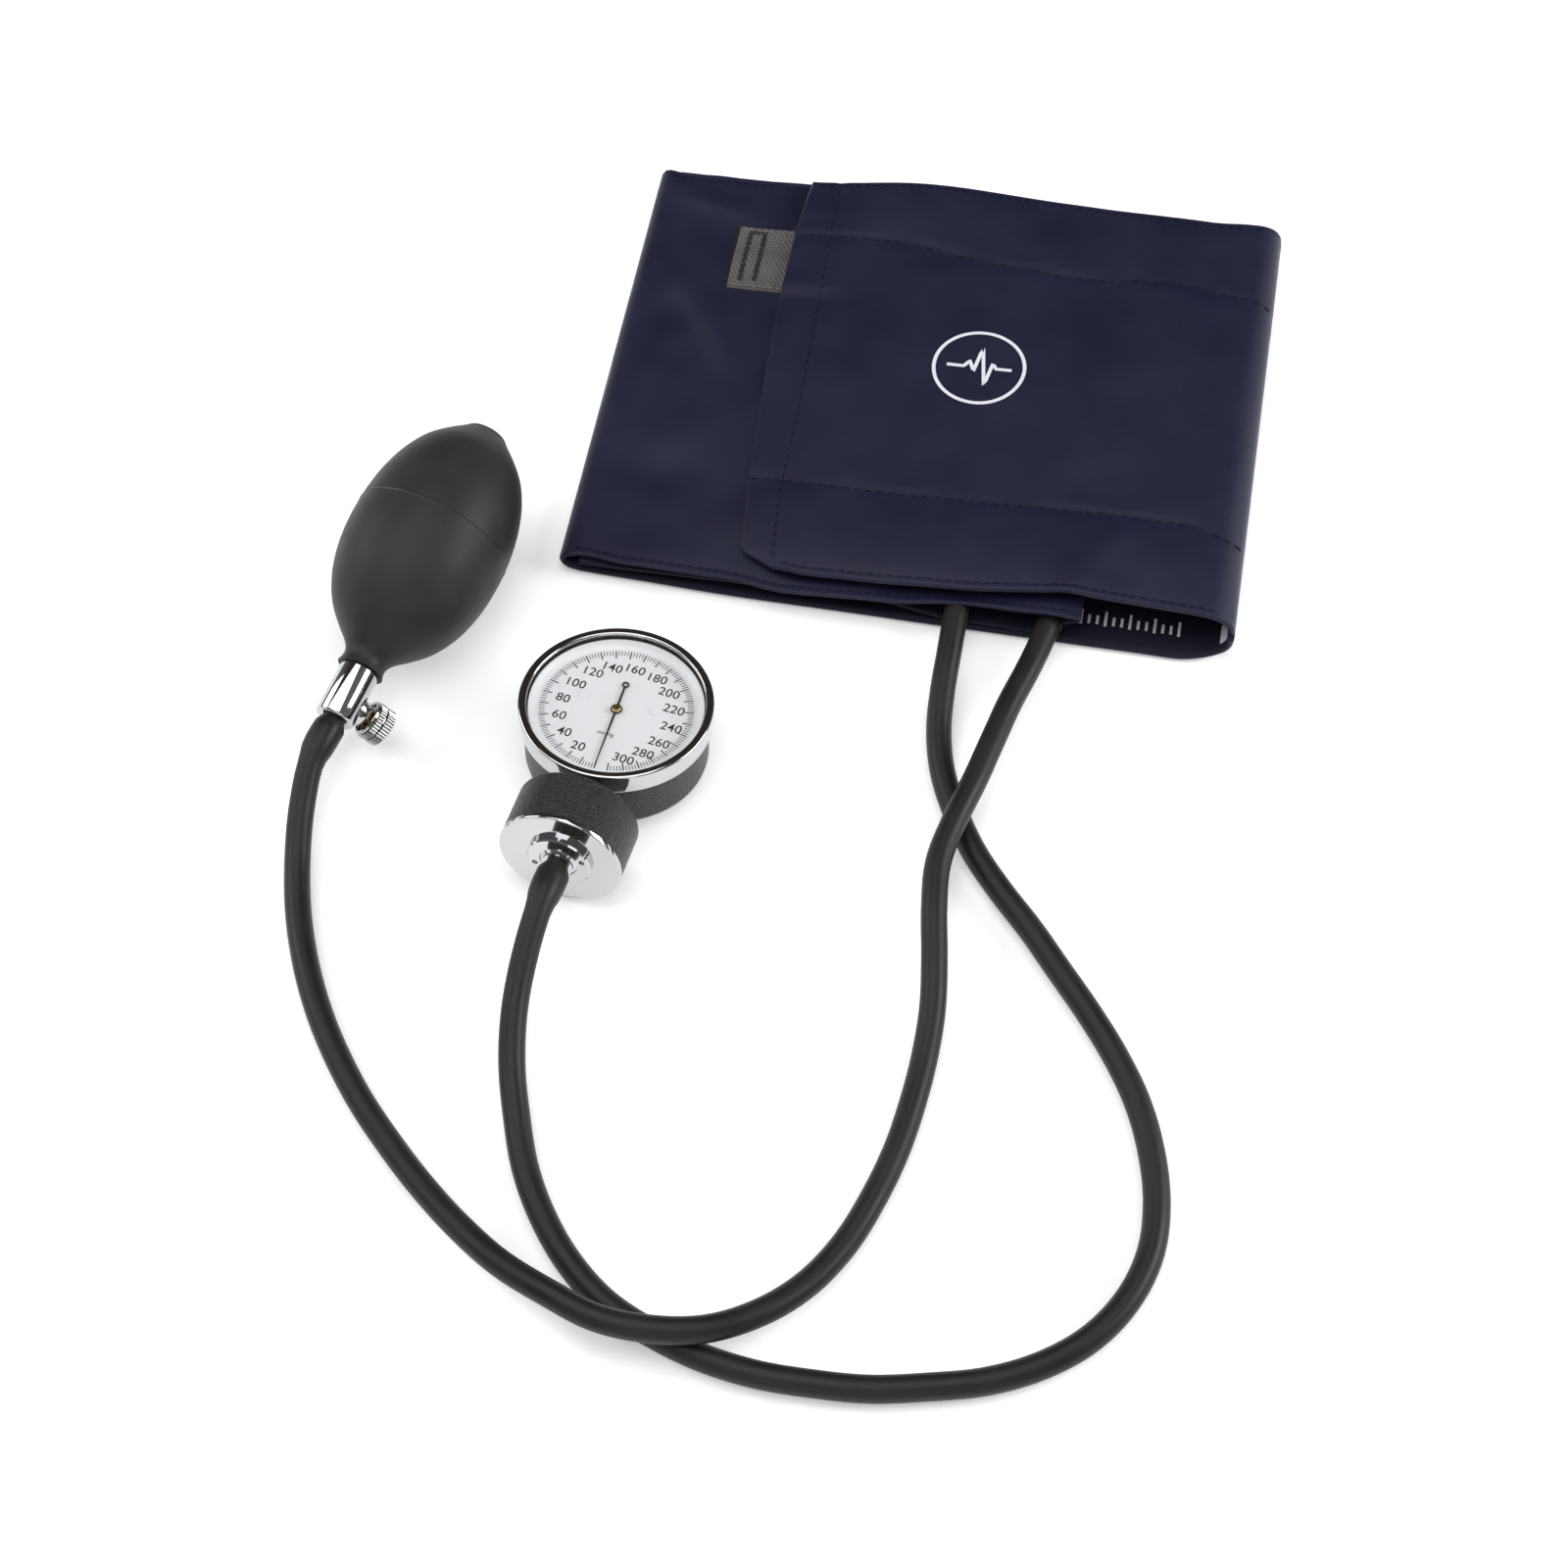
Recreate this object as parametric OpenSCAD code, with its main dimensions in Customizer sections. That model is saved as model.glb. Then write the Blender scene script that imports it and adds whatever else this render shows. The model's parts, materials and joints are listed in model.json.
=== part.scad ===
// Aneroid upper arm blood pressure monitor: folded cuff, two hoses, gauge, bulb and release valve.
// Millimetres, +Z up. The set lies on a table at z = 0, and the cuff's long side runs along X.

/* [Cuff] */
// Folded length of the cuff, left fold to right fold
cuff_len = 191; // [180:1:200]
// Width of the cuff, front hem to back hem
cuff_width = 152; // [145:1:165]
// Thickness of the bottom panel
panel_t = 3; // [2.8:0.1:3.2]
// Thickness of the flap
flap_t = 2; // [1.6:0.1:2.4]
// Width of the hook patch and of the loop patch
patch_w = 96; // [80:1:110]
// Length of the flap, from the right fold to its free edge
flap_len = 141; // [130:1:145]
// Width of the webbing tab
tab_w = 26; // [15:1:40]

/* [Hoses] */
// Outer diameter of both hoses
hose_d = 7; // [6:0.1:7]
// Sides of a hose's tube
hose_sides = 10; // [8:1:12]

/* [Gauge] */
// Outer diameter of the bezel
bezel_d = 52.6; // [52:0.1:54]
// Height of the gauge, case floor to bezel
gauge_h = 22; // [22:0.1:23]
// Diameter of the capsule housing
housing_d = 33.4; // [32:0.1:36]
// Length of the capsule housing with its end plate
housing_len = 16; // [15:0.1:18]
// Length of the pointer, from its hub to its tip
pointer_len = 20; // [17:0.5:21]

/* [Bulb and valve] */
// Largest diameter of the bulb
bulb_d = 45; // [42:0.5:48]
// Length of the bulb, lip to inlet
bulb_len = 80; // [76:1:84]
// Diameter of the valve body
valve_d = 11.1; // [10.5:0.1:12]
// Diameter of the thumb screw
knob_d = 10.9; // [10.5:0.1:12]

/* [Hidden] */
$fn = 64;
cut = 1; // how far a cutting shape runs past the face it opens

// Cuff
cuff_x0 = -66;
cuff_y0 = -16;
cuff_x1 = cuff_x0 + cuff_len;
cuff_y1 = cuff_y0 + cuff_width;
ply_t = 0.8;
body_gap = 0.3; // air between pieces that move apart
side_t = 2.4;
inner_z = panel_t + body_gap; // underside of the inner panel
left_fold_r = 3.75;
left_fold_x = cuff_x0 + left_fold_r + 0.25;
inner_x1 = 82;
inner_left_z = 2 * left_fold_r;
inner_right_z = 14;
inner_slope = (inner_right_z - inner_left_z) / (inner_x1 - left_fold_x);
crease_x = cuff_x1 - side_t - body_gap * 2;
low_crease_z = panel_t;
high_crease_z = 15.6;
flap_x0 = crease_x - flap_len;
flap_z = high_crease_z + body_gap; // underside of the flap at the right fold
flap_bend_x = 77;
flap_bend_z = 15.4;
flap_end_z = 12.3; // underside of the flap at its free edge
patch_t = 0.7;
patch_y0 = 15;
patch_x0 = flap_x0 + 9;
patch_x1 = 112;
loop_t = 0.6;
loop_x0 = 10;
loop_x1 = 76;
tab_t = 1;
tab_x0 = -37;
tab_x1 = 6;
tab_y0 = 89;
mouth_x0 = 28; // the hoses leave between the plies of the inner panel from here to its end
mouth_depth = 6;
bladder_y0 = -2;
bladder_y1 = 124;
bladder_t = 1.2;
bladder_x0 = -14;
bladder_x1 = 78;
port_z = 8;
port_len = 6;
port_r = 3.5;
gauge_port_x = 48;
bulb_port_x = 74;

// Gauge: its own frame has the dial's centre on Z, the stem towards -Y and the case floor at z = 0
gauge_x = -36.6;
gauge_y = -75.5;
gauge_yaw = -6.7;
bezel_r = bezel_d / 2;
bezel_h = 6;
bezel_lip = 1.3;
case_r = 25;
case_foot_r = 24;
case_base_r = 22.5;
case_wall = 1.2;
case_h = 18.6;
case_bore_r = case_r - case_wall;
window_r = 24;
lens_r = 24.8;
lens_z = 20;
lens_t = 1.2;
dial_r = 23.4;
dial_z = 17.8;
dial_t = 0.5;
stem_z = 11; // height of the stem's axis over the case floor
housing_r = housing_d / 2;
housing_y = 30.8; // from the dial's centre to the housing's back
end_plate_t = 1.2;
end_plate_y = housing_y + housing_len;
housing_wall = 1.4;
// The gauge rests on its case's far rim and on the housing's near rim
gauge_tilt = atan((housing_r - stem_z) / (case_base_r + housing_y + 1));
gauge_lift = case_base_r * sin(gauge_tilt);
neck_r = 4.9;
spigot_r = 3.4;
neck_bore_r = 2;
nut_r = 5.4;
nut_t = 1.6;
ring_r = 8.8;
ring_t = 1.2;
ring_bore_r = 5.2;
barb_end = end_plate_y + 15.2;
barb_bore_r = 1.2;
capsule_r = 13;
barb_seat = 4.8; // from the end plate's outer face to the inner end of the hose barb
capsule_t = 5;
capsule_y0 = end_plate_y - barb_seat - capsule_t;

// Movement: a push rod turns a toothed sector, and the sector turns the pointer's pinion
tooth_pitch = 3.6; // degrees between the sector's teeth
pinion_teeth = 10;
pinion_root = 0.8;
pinion_tip = 1.2;
sector_root = 9.75;
sector_tip = 10.2;
sector_teeth = 12;
sector_swing = 35;
centre_gap = 11.05;
rod_arm = 3; // lever arm of the push rod about the sector's pivot
pivot = [-rod_arm, -sqrt(centre_gap * centre_gap - rod_arm * rod_arm)];
mesh_angle = atan2(-pivot[1], -pivot[0]);
gear_z = 10.5;
gear_t = 1;
rod_r = 0.8;
pin_r = 0.6;
rod_tip_y = pivot[1] - rod_arm * sin(sector_swing / 2) - pin_r - 0.06;
arbor_r = 0.5;
arbor_top = 19.5;
pivot_r = 0.6;
fit_gap = 0.05; // running fit
plate_r = 15;
low_plate_z = 5.4;
high_plate_z = 12.6;
plate_t = 0.8;
pillar_r = 1.5;
pillar_circle = 13;
pillar_angles = [35, 145, 215, 325];
dial_foot_x = 10;
dial_foot_y = 2.5;
dial_foot_r = 1.4;
dial_screw_r = 1.3;
pointer_z = 18.7;
pointer_t = 0.25;
pointer_zero = 1.9; // the pointer at rest, measured from the stem's line
hub_r = 1.6;
tail_y = 8.8;
hairspring_turns = 3;

// Bulb: its own frame has the lip's centre at the origin and the inlet towards +Y
bulb_x = -108.2;
bulb_y = -70.8;
bulb_z = 17.28;
bulb_yaw = -13.4;
bulb_tilt = 8;
bulb_r = bulb_d / 2;
bulb_wall = 2.6;
bulb_bore_r = 4.6;
// Outer shape of the bulb as shares of its length and of its largest radius
bulb_shape = [
    [0, 0.295], [0.02, 0.275], [0.05, 0.285], [0.08, 0.35], [0.12, 0.49], [0.18, 0.68],
    [0.27, 0.855], [0.37, 0.957], [0.46, 0.995], [0.54, 1], [0.62, 0.98], [0.72, 0.915],
    [0.81, 0.805], [0.88, 0.665], [0.93, 0.51], [0.955, 0.405], [0.972, 0.325], [0.985, 0.29],
    [1, 0.25]
];
inlet_depth = 9;
ball_r = 1.9;
outlet_ball_r = 1.5;
ball_chamber_r = 2.6;
air_bore_r = 1.2;
ball_lift = 1;
cage_bore_r = 1.4;
cage_t = 1;
// Distance from a ball's centre to the rim of the hole that it sits on
inlet_rest = sqrt(ball_r * ball_r - cage_bore_r * cage_bore_r);
inlet_seat = sqrt(ball_r * ball_r - air_bore_r * air_bore_r);
outlet_rest = sqrt(outlet_ball_r * outlet_ball_r - air_bore_r * air_bore_r);
ball_air = 0.02;
outlet_seat_z = 7.6;
outlet_floor_z = outlet_seat_z - 2 * outlet_rest - ball_lift - 2 * ball_air;
slot_w = 0.8;
valve_r = valve_d / 2;
valve_len = 16;
stub_len = 13;
knob_y = 10; // from the bulb's lip to the thumb screw's axis
knob_dip = 43; // how far the thumb screw points below level
boss_r = 3.6;
boss_len = 7.2;
spindle_r = 1.7;
knob_r = knob_d / 2;
knob_in = 8; // from the valve's axis to the open rim of the thumb screw
knob_len = 6.5;
knurl_teeth = 40;
knurl_depth = 0.3;

// Routes of the two hoses, from the cuff's ports to the gauge and to the valve
gauge_hose_route = [
    [48, -8, 8], [48, -18, 8], [48, -30, 7.4], [48, -42, 6], [48.8, -54, 4.4], [51.8, -67, 3.6],
    [57, -79, 3.6], [64, -91, 3.6], [72, -101, 3.6], [82, -112, 3.6], [91, -123, 3.6],
    [100, -134, 3.6], [108, -145, 3.6], [115, -157, 3.6], [120, -170, 3.6], [123, -184, 3.6],
    [123, -198, 3.6], [119, -211, 3.6], [111, -223, 3.6], [100, -232, 3.6], [88, -238, 3.6],
    [74, -242, 3.6], [60, -245, 3.6], [46, -246, 3.6], [33, -246, 3.6], [19, -244, 3.6],
    [6, -240, 3.6], [-7, -234, 3.6], [-18, -225, 3.6], [-27, -214, 3.6], [-34, -202, 3.8],
    [-39, -189, 4.8], [-43, -176, 7], [-45, -163, 11], [-45, -149, 15.8],
    gauge_point(-barb_end), gauge_point(-end_plate_y - 2.7)
];
bulb_hose_route = [
    [74, -8, 8], [74, -15, 8], [72.4, -24, 8.3], [70, -34, 8.9], [67, -45, 9.6], [64, -59, 10.4],
    [61, -73, 10.9], [57.4, -87, 10.9], [55.2, -100, 10.9], [56.2, -114, 10.4], [58.3, -127, 8.6],
    [60, -141, 5.8], [60, -154, 4], [59, -167, 3.6], [57, -181, 3.6], [53.4, -195, 3.6], [48.2, -209, 3.8],
    [40.6, -221.8, 5], [30.6, -232.2, 7.6], [18.8, -239.5, 10.3], [6, -242, 11], [-7, -241.4, 11],
    [-20, -237, 10.8], [-33, -231, 9.2], [-46, -222, 6.6], [-58, -212, 4.6], [-68.3, -202.3, 3.7],
    [-78.7, -191.6, 3.6], [-88.2, -179.8, 3.6], [-96.2, -167.8, 3.6], [-103.2, -154.5, 3.6],
    [-108.9, -140.3, 3.8], [-113, -125, 5.2], [-115, -110.9, 9],
    bulb_point(-valve_len - stub_len), bulb_point(-valve_len)
];

function turn_x(p, a) = [p[0], p[1] * cos(a) - p[2] * sin(a), p[1] * sin(a) + p[2] * cos(a)];
function turn_z(p, a) = [p[0] * cos(a) - p[1] * sin(a), p[0] * sin(a) + p[1] * cos(a), p[2]];
function gauge_point(y) =
    [gauge_x, gauge_y, gauge_lift] + turn_z(turn_x([0, y, stem_z], -gauge_tilt), gauge_yaw);
function bulb_point(y) =
    [bulb_x, bulb_y, bulb_z] + turn_z(turn_x([0, y, 0], bulb_tilt), bulb_yaw);
function unit(v) = v / norm(v);
function inner_top(x) = inner_left_z + (x - left_fold_x) * inner_slope;
function flap_under(x) = x < flap_bend_x
    ? flap_end_z + (x - flap_x0) * (flap_bend_z - flap_end_z) / (flap_bend_x - flap_x0)
    : flap_bend_z + (x - flap_bend_x) * (flap_z - flap_bend_z) / (crease_x - flap_bend_x);

// A tube swept along a route, with one ring at each of the route's points
function along(route, i) =
    unit(route[min(i + 1, len(route) - 1)] - route[max(i - 1, 0)]);
function across(route, i) = unit(cross(along(route, i), [0, 0, 1]));
function ring_points(route, i) = [
    for (k = [0:hose_sides - 1])
        let (a = 360 * k / hose_sides, side = across(route, i))
            route[i] + hose_d / 2 * (cos(a) * side + sin(a) * cross(side, along(route, i)))
];

module hose_tube(route) {
    n = hose_sides;
    last = (len(route) - 1) * n;
    points = [for (i = [0:len(route) - 1]) each ring_points(route, i)];
    walls = [
        for (i = [0:len(route) - 2], k = [0:n - 1])
            let (a = i * n + k, b = i * n + (k + 1) % n)
                each [[a, b, b + n], [a, b + n, a + n]]
    ];
    start_cap = [for (k = [n - 1:-1:0]) k];
    end_cap = [for (k = [0:n - 1]) last + k];
    polyhedron(points, concat(walls, [start_cap, end_cap]), convexity = 10);
}

// Extrudes an outline drawn in the X-Z plane along Y, from y0 to y1
module panel(y0, y1) {
    translate([0, y1, 0])
        rotate([90, 0, 0])
            linear_extrude(y1 - y0)
                children();
}

module at_gauge() {
    translate([gauge_x, gauge_y, gauge_lift])
        rotate([0, 0, gauge_yaw])
            rotate([-gauge_tilt, 0, 0])
                children();
}

// Z runs along the stem, away from the dial's centre
module at_stem() {
    at_gauge()
        translate([0, 0, stem_z])
            rotate([90, 0, 0])
                children();
}

// Z runs from the bulb's lip to its inlet
module at_bulb() {
    translate([bulb_x, bulb_y, bulb_z])
        rotate([0, 0, bulb_yaw])
            rotate([bulb_tilt, 0, 0])
                rotate([-90, 0, 0])
                    children();
}

// Z runs out of the valve along the thumb screw's axis
module at_knob() {
    at_bulb()
        translate([0, 0, -knob_y])
            rotate([0, 90, 0])
                rotate([-knob_dip, 0, 0])
                    children();
}

module tube(outer, inner, length) {
    difference() {
        cylinder(r = outer, h = length);
        translate([0, 0, -cut])
            cylinder(r = inner, h = length + 2 * cut);
    }
}

// ---- Cuff ----

module cuff_bottom_panel() {
    color("midnightblue")
        difference() {
            panel(cuff_y0, cuff_y1)
                translate([left_fold_x, 0])
                    square([crease_x - left_fold_x, panel_t]);
            panel(bladder_y0 - 2, bladder_y1 + 2)
                translate([left_fold_x - cut, 0.75])
                    square([bladder_x0 + 2 - left_fold_x + cut, 1.5]);
        }
}

module left_half() {
    intersection() {
        children();
        translate([-2 * left_fold_r, -2 * left_fold_r])
            square([2 * left_fold_r, 4 * left_fold_r]);
    }
}

module cuff_left_fold() {
    color("midnightblue")
        difference() {
            panel(cuff_y0, cuff_y1)
                translate([left_fold_x, left_fold_r])
                    left_half()
                        circle(left_fold_r);
            panel(bladder_y0 - 2, bladder_y1 + 2)
                translate([left_fold_x, left_fold_r])
                    left_half()
                        difference() {
                            circle(left_fold_r - 0.75);
                            circle(1.5);
                        }
        }
}

module inner_outline(inset) {
    polygon([
        [left_fold_x - (inset > 0 ? cut : 0), inner_z + inset],
        [inner_x1 - inset, inner_z + inset],
        [inner_x1 - inset, inner_top(inner_x1) - inset],
        [left_fold_x - (inset > 0 ? cut : 0), inner_top(left_fold_x) - inset]
    ]);
}

module cuff_inner_panel() {
    color("midnightblue")
        difference() {
            panel(cuff_y0, cuff_y1)
                inner_outline(0);
            panel(cuff_y0 + mouth_depth, cuff_y1 - mouth_depth)
                inner_outline(ply_t);
            panel(cuff_y0 - cut, cuff_y0 + mouth_depth + cut)
                intersection() {
                    inner_outline(ply_t);
                    translate([mouth_x0, 0])
                        square([cuff_len, 2 * inner_right_z]);
                }
        }
}

module cuff_side_panel() {
    color("midnightblue")
        panel(cuff_y0, cuff_y1)
            translate([crease_x + body_gap, low_crease_z + body_gap])
                square([side_t, high_crease_z - low_crease_z - 2 * body_gap]);
}

module cuff_flap() {
    color("midnightblue")
        panel(cuff_y0, cuff_y1)
            polygon([
                [flap_x0, flap_end_z],
                [flap_bend_x, flap_bend_z],
                [crease_x - body_gap, flap_z],
                [crease_x - body_gap, flap_z + flap_t],
                [flap_bend_x, flap_bend_z + flap_t],
                [flap_x0, flap_end_z + flap_t]
            ]);
}

module hook_patch() {
    color("dimgray")
        panel(patch_y0, patch_y0 + patch_w)
            polygon([
                [patch_x0, flap_under(patch_x0) - patch_t],
                [flap_bend_x, flap_bend_z - patch_t],
                [patch_x1, flap_under(patch_x1) - patch_t],
                [patch_x1, flap_under(patch_x1)],
                [flap_bend_x, flap_bend_z],
                [patch_x0, flap_under(patch_x0)]
            ]);
}

// A strip that lies on the inner panel's sloping top
module on_inner_panel(x0, x1, y0, y1, thickness) {
    panel(y0, y1)
        polygon([
            [x0, inner_top(x0)],
            [x1, inner_top(x1)],
            [x1, inner_top(x1) + thickness],
            [x0, inner_top(x0) + thickness]
        ]);
}

module loop_patch() {
    color("darkslategray")
        on_inner_panel(loop_x0, loop_x1, patch_y0, patch_y0 + patch_w, loop_t);
}

module webbing_tab() {
    color("gray")
        on_inner_panel(tab_x0, tab_x1, tab_y0, tab_y0 + tab_w, tab_t);
}

module bladder() {
    color("black")
        panel(bladder_y0, bladder_y1)
            union() {
                translate([left_fold_x, left_fold_r - 2.25 - bladder_t / 2])
                    square([bladder_x0 - left_fold_x, bladder_t]);
                translate([left_fold_x, left_fold_r])
                    left_half()
                        difference() {
                            circle(2.25 + bladder_t / 2);
                            circle(2.25 - bladder_t / 2);
                        }
                polygon([
                    [left_fold_x, left_fold_r + 2.25 - bladder_t / 2],
                    [bladder_x1, inner_z + ply_t + 0.5],
                    [bladder_x1, inner_top(bladder_x1) - ply_t - 0.5],
                    [left_fold_x, left_fold_r + 2.25 + bladder_t / 2]
                ]);
            }
}

module port(x) {
    color("black")
        translate([x, bladder_y0, port_z])
            rotate([90, 0, 0])
                tube(port_r, air_bore_r, port_len);
}

module gauge_port() {
    port(gauge_port_x);
}

module bulb_port() {
    port(bulb_port_x);
}

module gauge_hose() {
    color("black")
        hose_tube(gauge_hose_route);
}

module bulb_hose() {
    color("black")
        hose_tube(bulb_hose_route);
}

// ---- Gauge ----

module gauge_case() {
    color("black")
        at_gauge()
            difference() {
                rotate_extrude()
                    polygon([
                        [0, 0], [case_base_r, 0], [case_foot_r, 0.4], [case_r - 0.3, 1.4],
                        [case_r, 2.6], [case_r, gauge_h - bezel_h - 0.1],
                        [lens_r, gauge_h - bezel_h - 0.1], [lens_r, case_h], [case_bore_r, case_h],
                        [case_bore_r, case_wall + 1], [case_bore_r - 1, case_wall], [0, case_wall]
                    ]);
                translate([0, 0, stem_z])
                    rotate([90, 0, 0])
                        cylinder(r = spigot_r, h = case_r + cut);
            }
}

module bezel() {
    color("silver")
        at_gauge()
            rotate_extrude()
                polygon([
                    [case_r + 0.1, gauge_h - bezel_h], [bezel_r - 0.3, gauge_h - bezel_h],
                    [bezel_r, gauge_h - bezel_h + 0.3], [bezel_r, gauge_h - 0.7],
                    [bezel_r - 0.7, gauge_h], [window_r + 0.5, gauge_h],
                    [window_r, gauge_h - 0.5], [window_r, lens_z + lens_t],
                    [lens_r, lens_z + lens_t], [lens_r, case_h + 0.4], [case_r + 0.1, case_h]
                ]);
}

module lens() {
    color("lightcyan", 0.35)
        at_gauge()
            translate([0, 0, lens_z])
                cylinder(r = lens_r, h = lens_t);
}

module lens_gasket() {
    color("dimgray")
        at_gauge()
            translate([0, 0, case_h])
                tube(lens_r, case_bore_r, lens_z - case_h);
}

module dial_plate() {
    color("gainsboro")
        at_gauge()
            translate([0, 0, dial_z])
                difference() {
                    cylinder(r = dial_r, h = dial_t);
                    translate([0, 0, -cut])
                        cylinder(r = 1, h = dial_t + 2 * cut);
                    for (side = [-1, 1])
                        translate([side * dial_foot_x, dial_foot_y, -cut])
                            cylinder(r = dial_foot_r / 2, h = dial_t + 2 * cut);
                }
}

module dial_screws() {
    color("lightgray")
        at_gauge()
            for (side = [-1, 1])
                translate([side * dial_foot_x, dial_foot_y, dial_z + dial_t])
                    cylinder(r = dial_screw_r, h = 0.3);
}

module dial_feet() {
    color("goldenrod")
        at_gauge()
            for (side = [-1, 1])
                translate([side * dial_foot_x, dial_foot_y, high_plate_z + plate_t])
                    cylinder(r = dial_foot_r, h = dial_z - high_plate_z - plate_t);
}

module pointer() {
    color("black")
        at_gauge()
            translate([0, 0, pointer_z])
                rotate([0, 0, pointer_zero])
                    difference() {
                        linear_extrude(pointer_t)
                            union() {
                                polygon([
                                    [-0.32, 0], [-0.12, -pointer_len], [0.12, -pointer_len],
                                    [0.32, 0], [0.25, tail_y - 0.8], [-0.25, tail_y - 0.8]
                                ]);
                                translate([0, tail_y])
                                    difference() {
                                        circle(1);
                                        circle(0.6);
                                    }
                                circle(hub_r);
                            }
                        translate([0, 0, -cut])
                            cylinder(r = arbor_r, h = pointer_t + 2 * cut);
                    }
}

module pointer_hub() {
    color("goldenrod")
        at_gauge()
            rotate([0, 0, pointer_zero])
                difference() {
                    union() {
                        translate([0, 0, pointer_z + pointer_t])
                            cylinder(r1 = 1.3, r2 = 1, h = 0.7);
                        translate([0, 0, pointer_z - 0.5])
                            cylinder(r = 0.95, h = 0.5);
                    }
                    translate([0, 0, pointer_z - 1])
                        cylinder(r = arbor_r, h = arbor_top - pointer_z + 1);
                }
}

module pinion_arbor() {
    color("goldenrod")
        at_gauge()
            union() {
                translate([0, 0, low_plate_z])
                    cylinder(r = arbor_r, h = arbor_top - low_plate_z);
                translate([0, 0, gear_z - 0.2])
                    linear_extrude(gear_t + 0.4)
                        polygon([
                            for (i = [0:pinion_teeth - 1])
                                let (a = mesh_angle + 180 + 360 * (i + 0.5) / pinion_teeth)
                                    each [
                                        pinion_root * [cos(a - 11), sin(a - 11)],
                                        pinion_tip * [cos(a - 5), sin(a - 5)],
                                        pinion_tip * [cos(a + 5), sin(a + 5)],
                                        pinion_root * [cos(a + 11), sin(a + 11)]
                                    ]
                        ]);
            }
}

module sector_gear() {
    centre = mesh_angle - (sector_teeth / 2 - 1.5) * tooth_pitch;
    half = sector_teeth / 2 * tooth_pitch;
    color("goldenrod")
        at_gauge()
            translate([pivot[0], pivot[1], gear_z])
                union() {
                    translate([0, 0, low_plate_z - gear_z])
                        cylinder(r = pivot_r, h = high_plate_z + plate_t - low_plate_z);
                    cylinder(r = 1.8, h = gear_t);
                    linear_extrude(gear_t)
                        polygon(concat(
                            [for (a = [centre + half:-half / 3:centre - half]) 8.8 * [cos(a), sin(a)]],
                            [
                                for (i = [0:sector_teeth - 1])
                                    let (a = centre - half + (i + 0.5) * tooth_pitch)
                                        each [
                                            sector_root * [cos(a - 1.1), sin(a - 1.1)],
                                            sector_tip * [cos(a - 0.5), sin(a - 0.5)],
                                            sector_tip * [cos(a + 0.5), sin(a + 0.5)],
                                            sector_root * [cos(a + 1.1), sin(a + 1.1)]
                                        ]
                            ]
                        ));
                    for (side = [-1, 1])
                        rotate([0, 0, centre + side * half * 0.6])
                            translate([1.4, -0.4, 0])
                                cube([7.8, 0.8, gear_t]);
                    rotate([0, 0, -sector_swing / 2])
                        translate([0, -0.4, 0])
                            cube([rod_arm, 0.8, gear_t]);
                    rotate([0, 0, -sector_swing / 2])
                        translate([rod_arm, 0, -0.3])
                            cylinder(r = pin_r, h = gear_t + 0.6);
                }
}

module push_rod() {
    color("silver")
        at_stem()
            translate([0, 0, -rod_tip_y])
                cylinder(r = rod_r, h = capsule_y0 + rod_tip_y);
}

module hairspring() {
    color("steelblue")
        at_gauge()
            translate([0, 0, low_plate_z + 2.2])
                linear_extrude(0.4)
                    polygon(concat(
                        [for (t = [0:1 / 20:hairspring_turns]) (1.2 + t) * [cos(360 * t), sin(360 * t)]],
                        [
                            for (t = [hairspring_turns:-1 / 20:0])
                                (1.05 + t) * [cos(360 * t), sin(360 * t)]
                        ]
                    ));
}

module movement_plate(z) {
    color("goldenrod")
        at_gauge()
            translate([0, 0, z])
                difference() {
                    cylinder(r = plate_r, h = plate_t);
                    translate([0, 0, -cut])
                        cylinder(r = arbor_r + fit_gap, h = plate_t + 2 * cut);
                    translate([pivot[0], pivot[1], -cut])
                        cylinder(r = pivot_r + fit_gap, h = plate_t + 2 * cut);
                }
}

module lower_plate() {
    movement_plate(low_plate_z);
}

module upper_plate() {
    movement_plate(high_plate_z);
}

module at_pillars(z) {
    at_gauge()
        for (a = pillar_angles)
            rotate([0, 0, a])
                translate([pillar_circle, 0, z])
                    children();
}

module movement_pillars() {
    color("goldenrod")
        union() {
            at_pillars(case_wall)
                cylinder(r = pillar_r, h = low_plate_z - case_wall);
            at_pillars(low_plate_z + plate_t)
                cylinder(r = pillar_r, h = high_plate_z - low_plate_z - plate_t);
        }
}

module movement_screws() {
    color("silver")
        at_pillars(high_plate_z + plate_t)
            cylinder(r = 1.2, h = 0.7);
}

module neck_tube() {
    color("black")
        difference() {
            union() {
                at_stem()
                    translate([0, 0, case_bore_r - nut_t - 0.4])
                        cylinder(
                            r = spigot_r,
                            h = housing_y + housing_wall + 2 * nut_t - case_bore_r + 0.8
                        );
                at_stem()
                    translate([0, 0, case_r - 1])
                        cylinder(r = neck_r, h = housing_y - case_r + 1);
            }
            at_stem()
                cylinder(r = neck_bore_r, h = 2 * housing_y);
            at_gauge()
                difference() {
                    translate([0, 0, 0])
                        cylinder(r = case_r + 0.02, h = gauge_h);
                    translate([0, 0, stem_z])
                        rotate([90, 0, 0])
                            cylinder(r = spigot_r, h = 2 * case_r);
                }
        }
}

module neck_nuts() {
    color("silver")
        union() {
            at_stem()
                translate([0, 0, case_bore_r - nut_t - 0.6])
                    tube(nut_r - 1, spigot_r, nut_t);
            at_stem()
                translate([0, 0, housing_y + housing_wall])
                    tube(nut_r, spigot_r, nut_t);
        }
}

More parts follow.
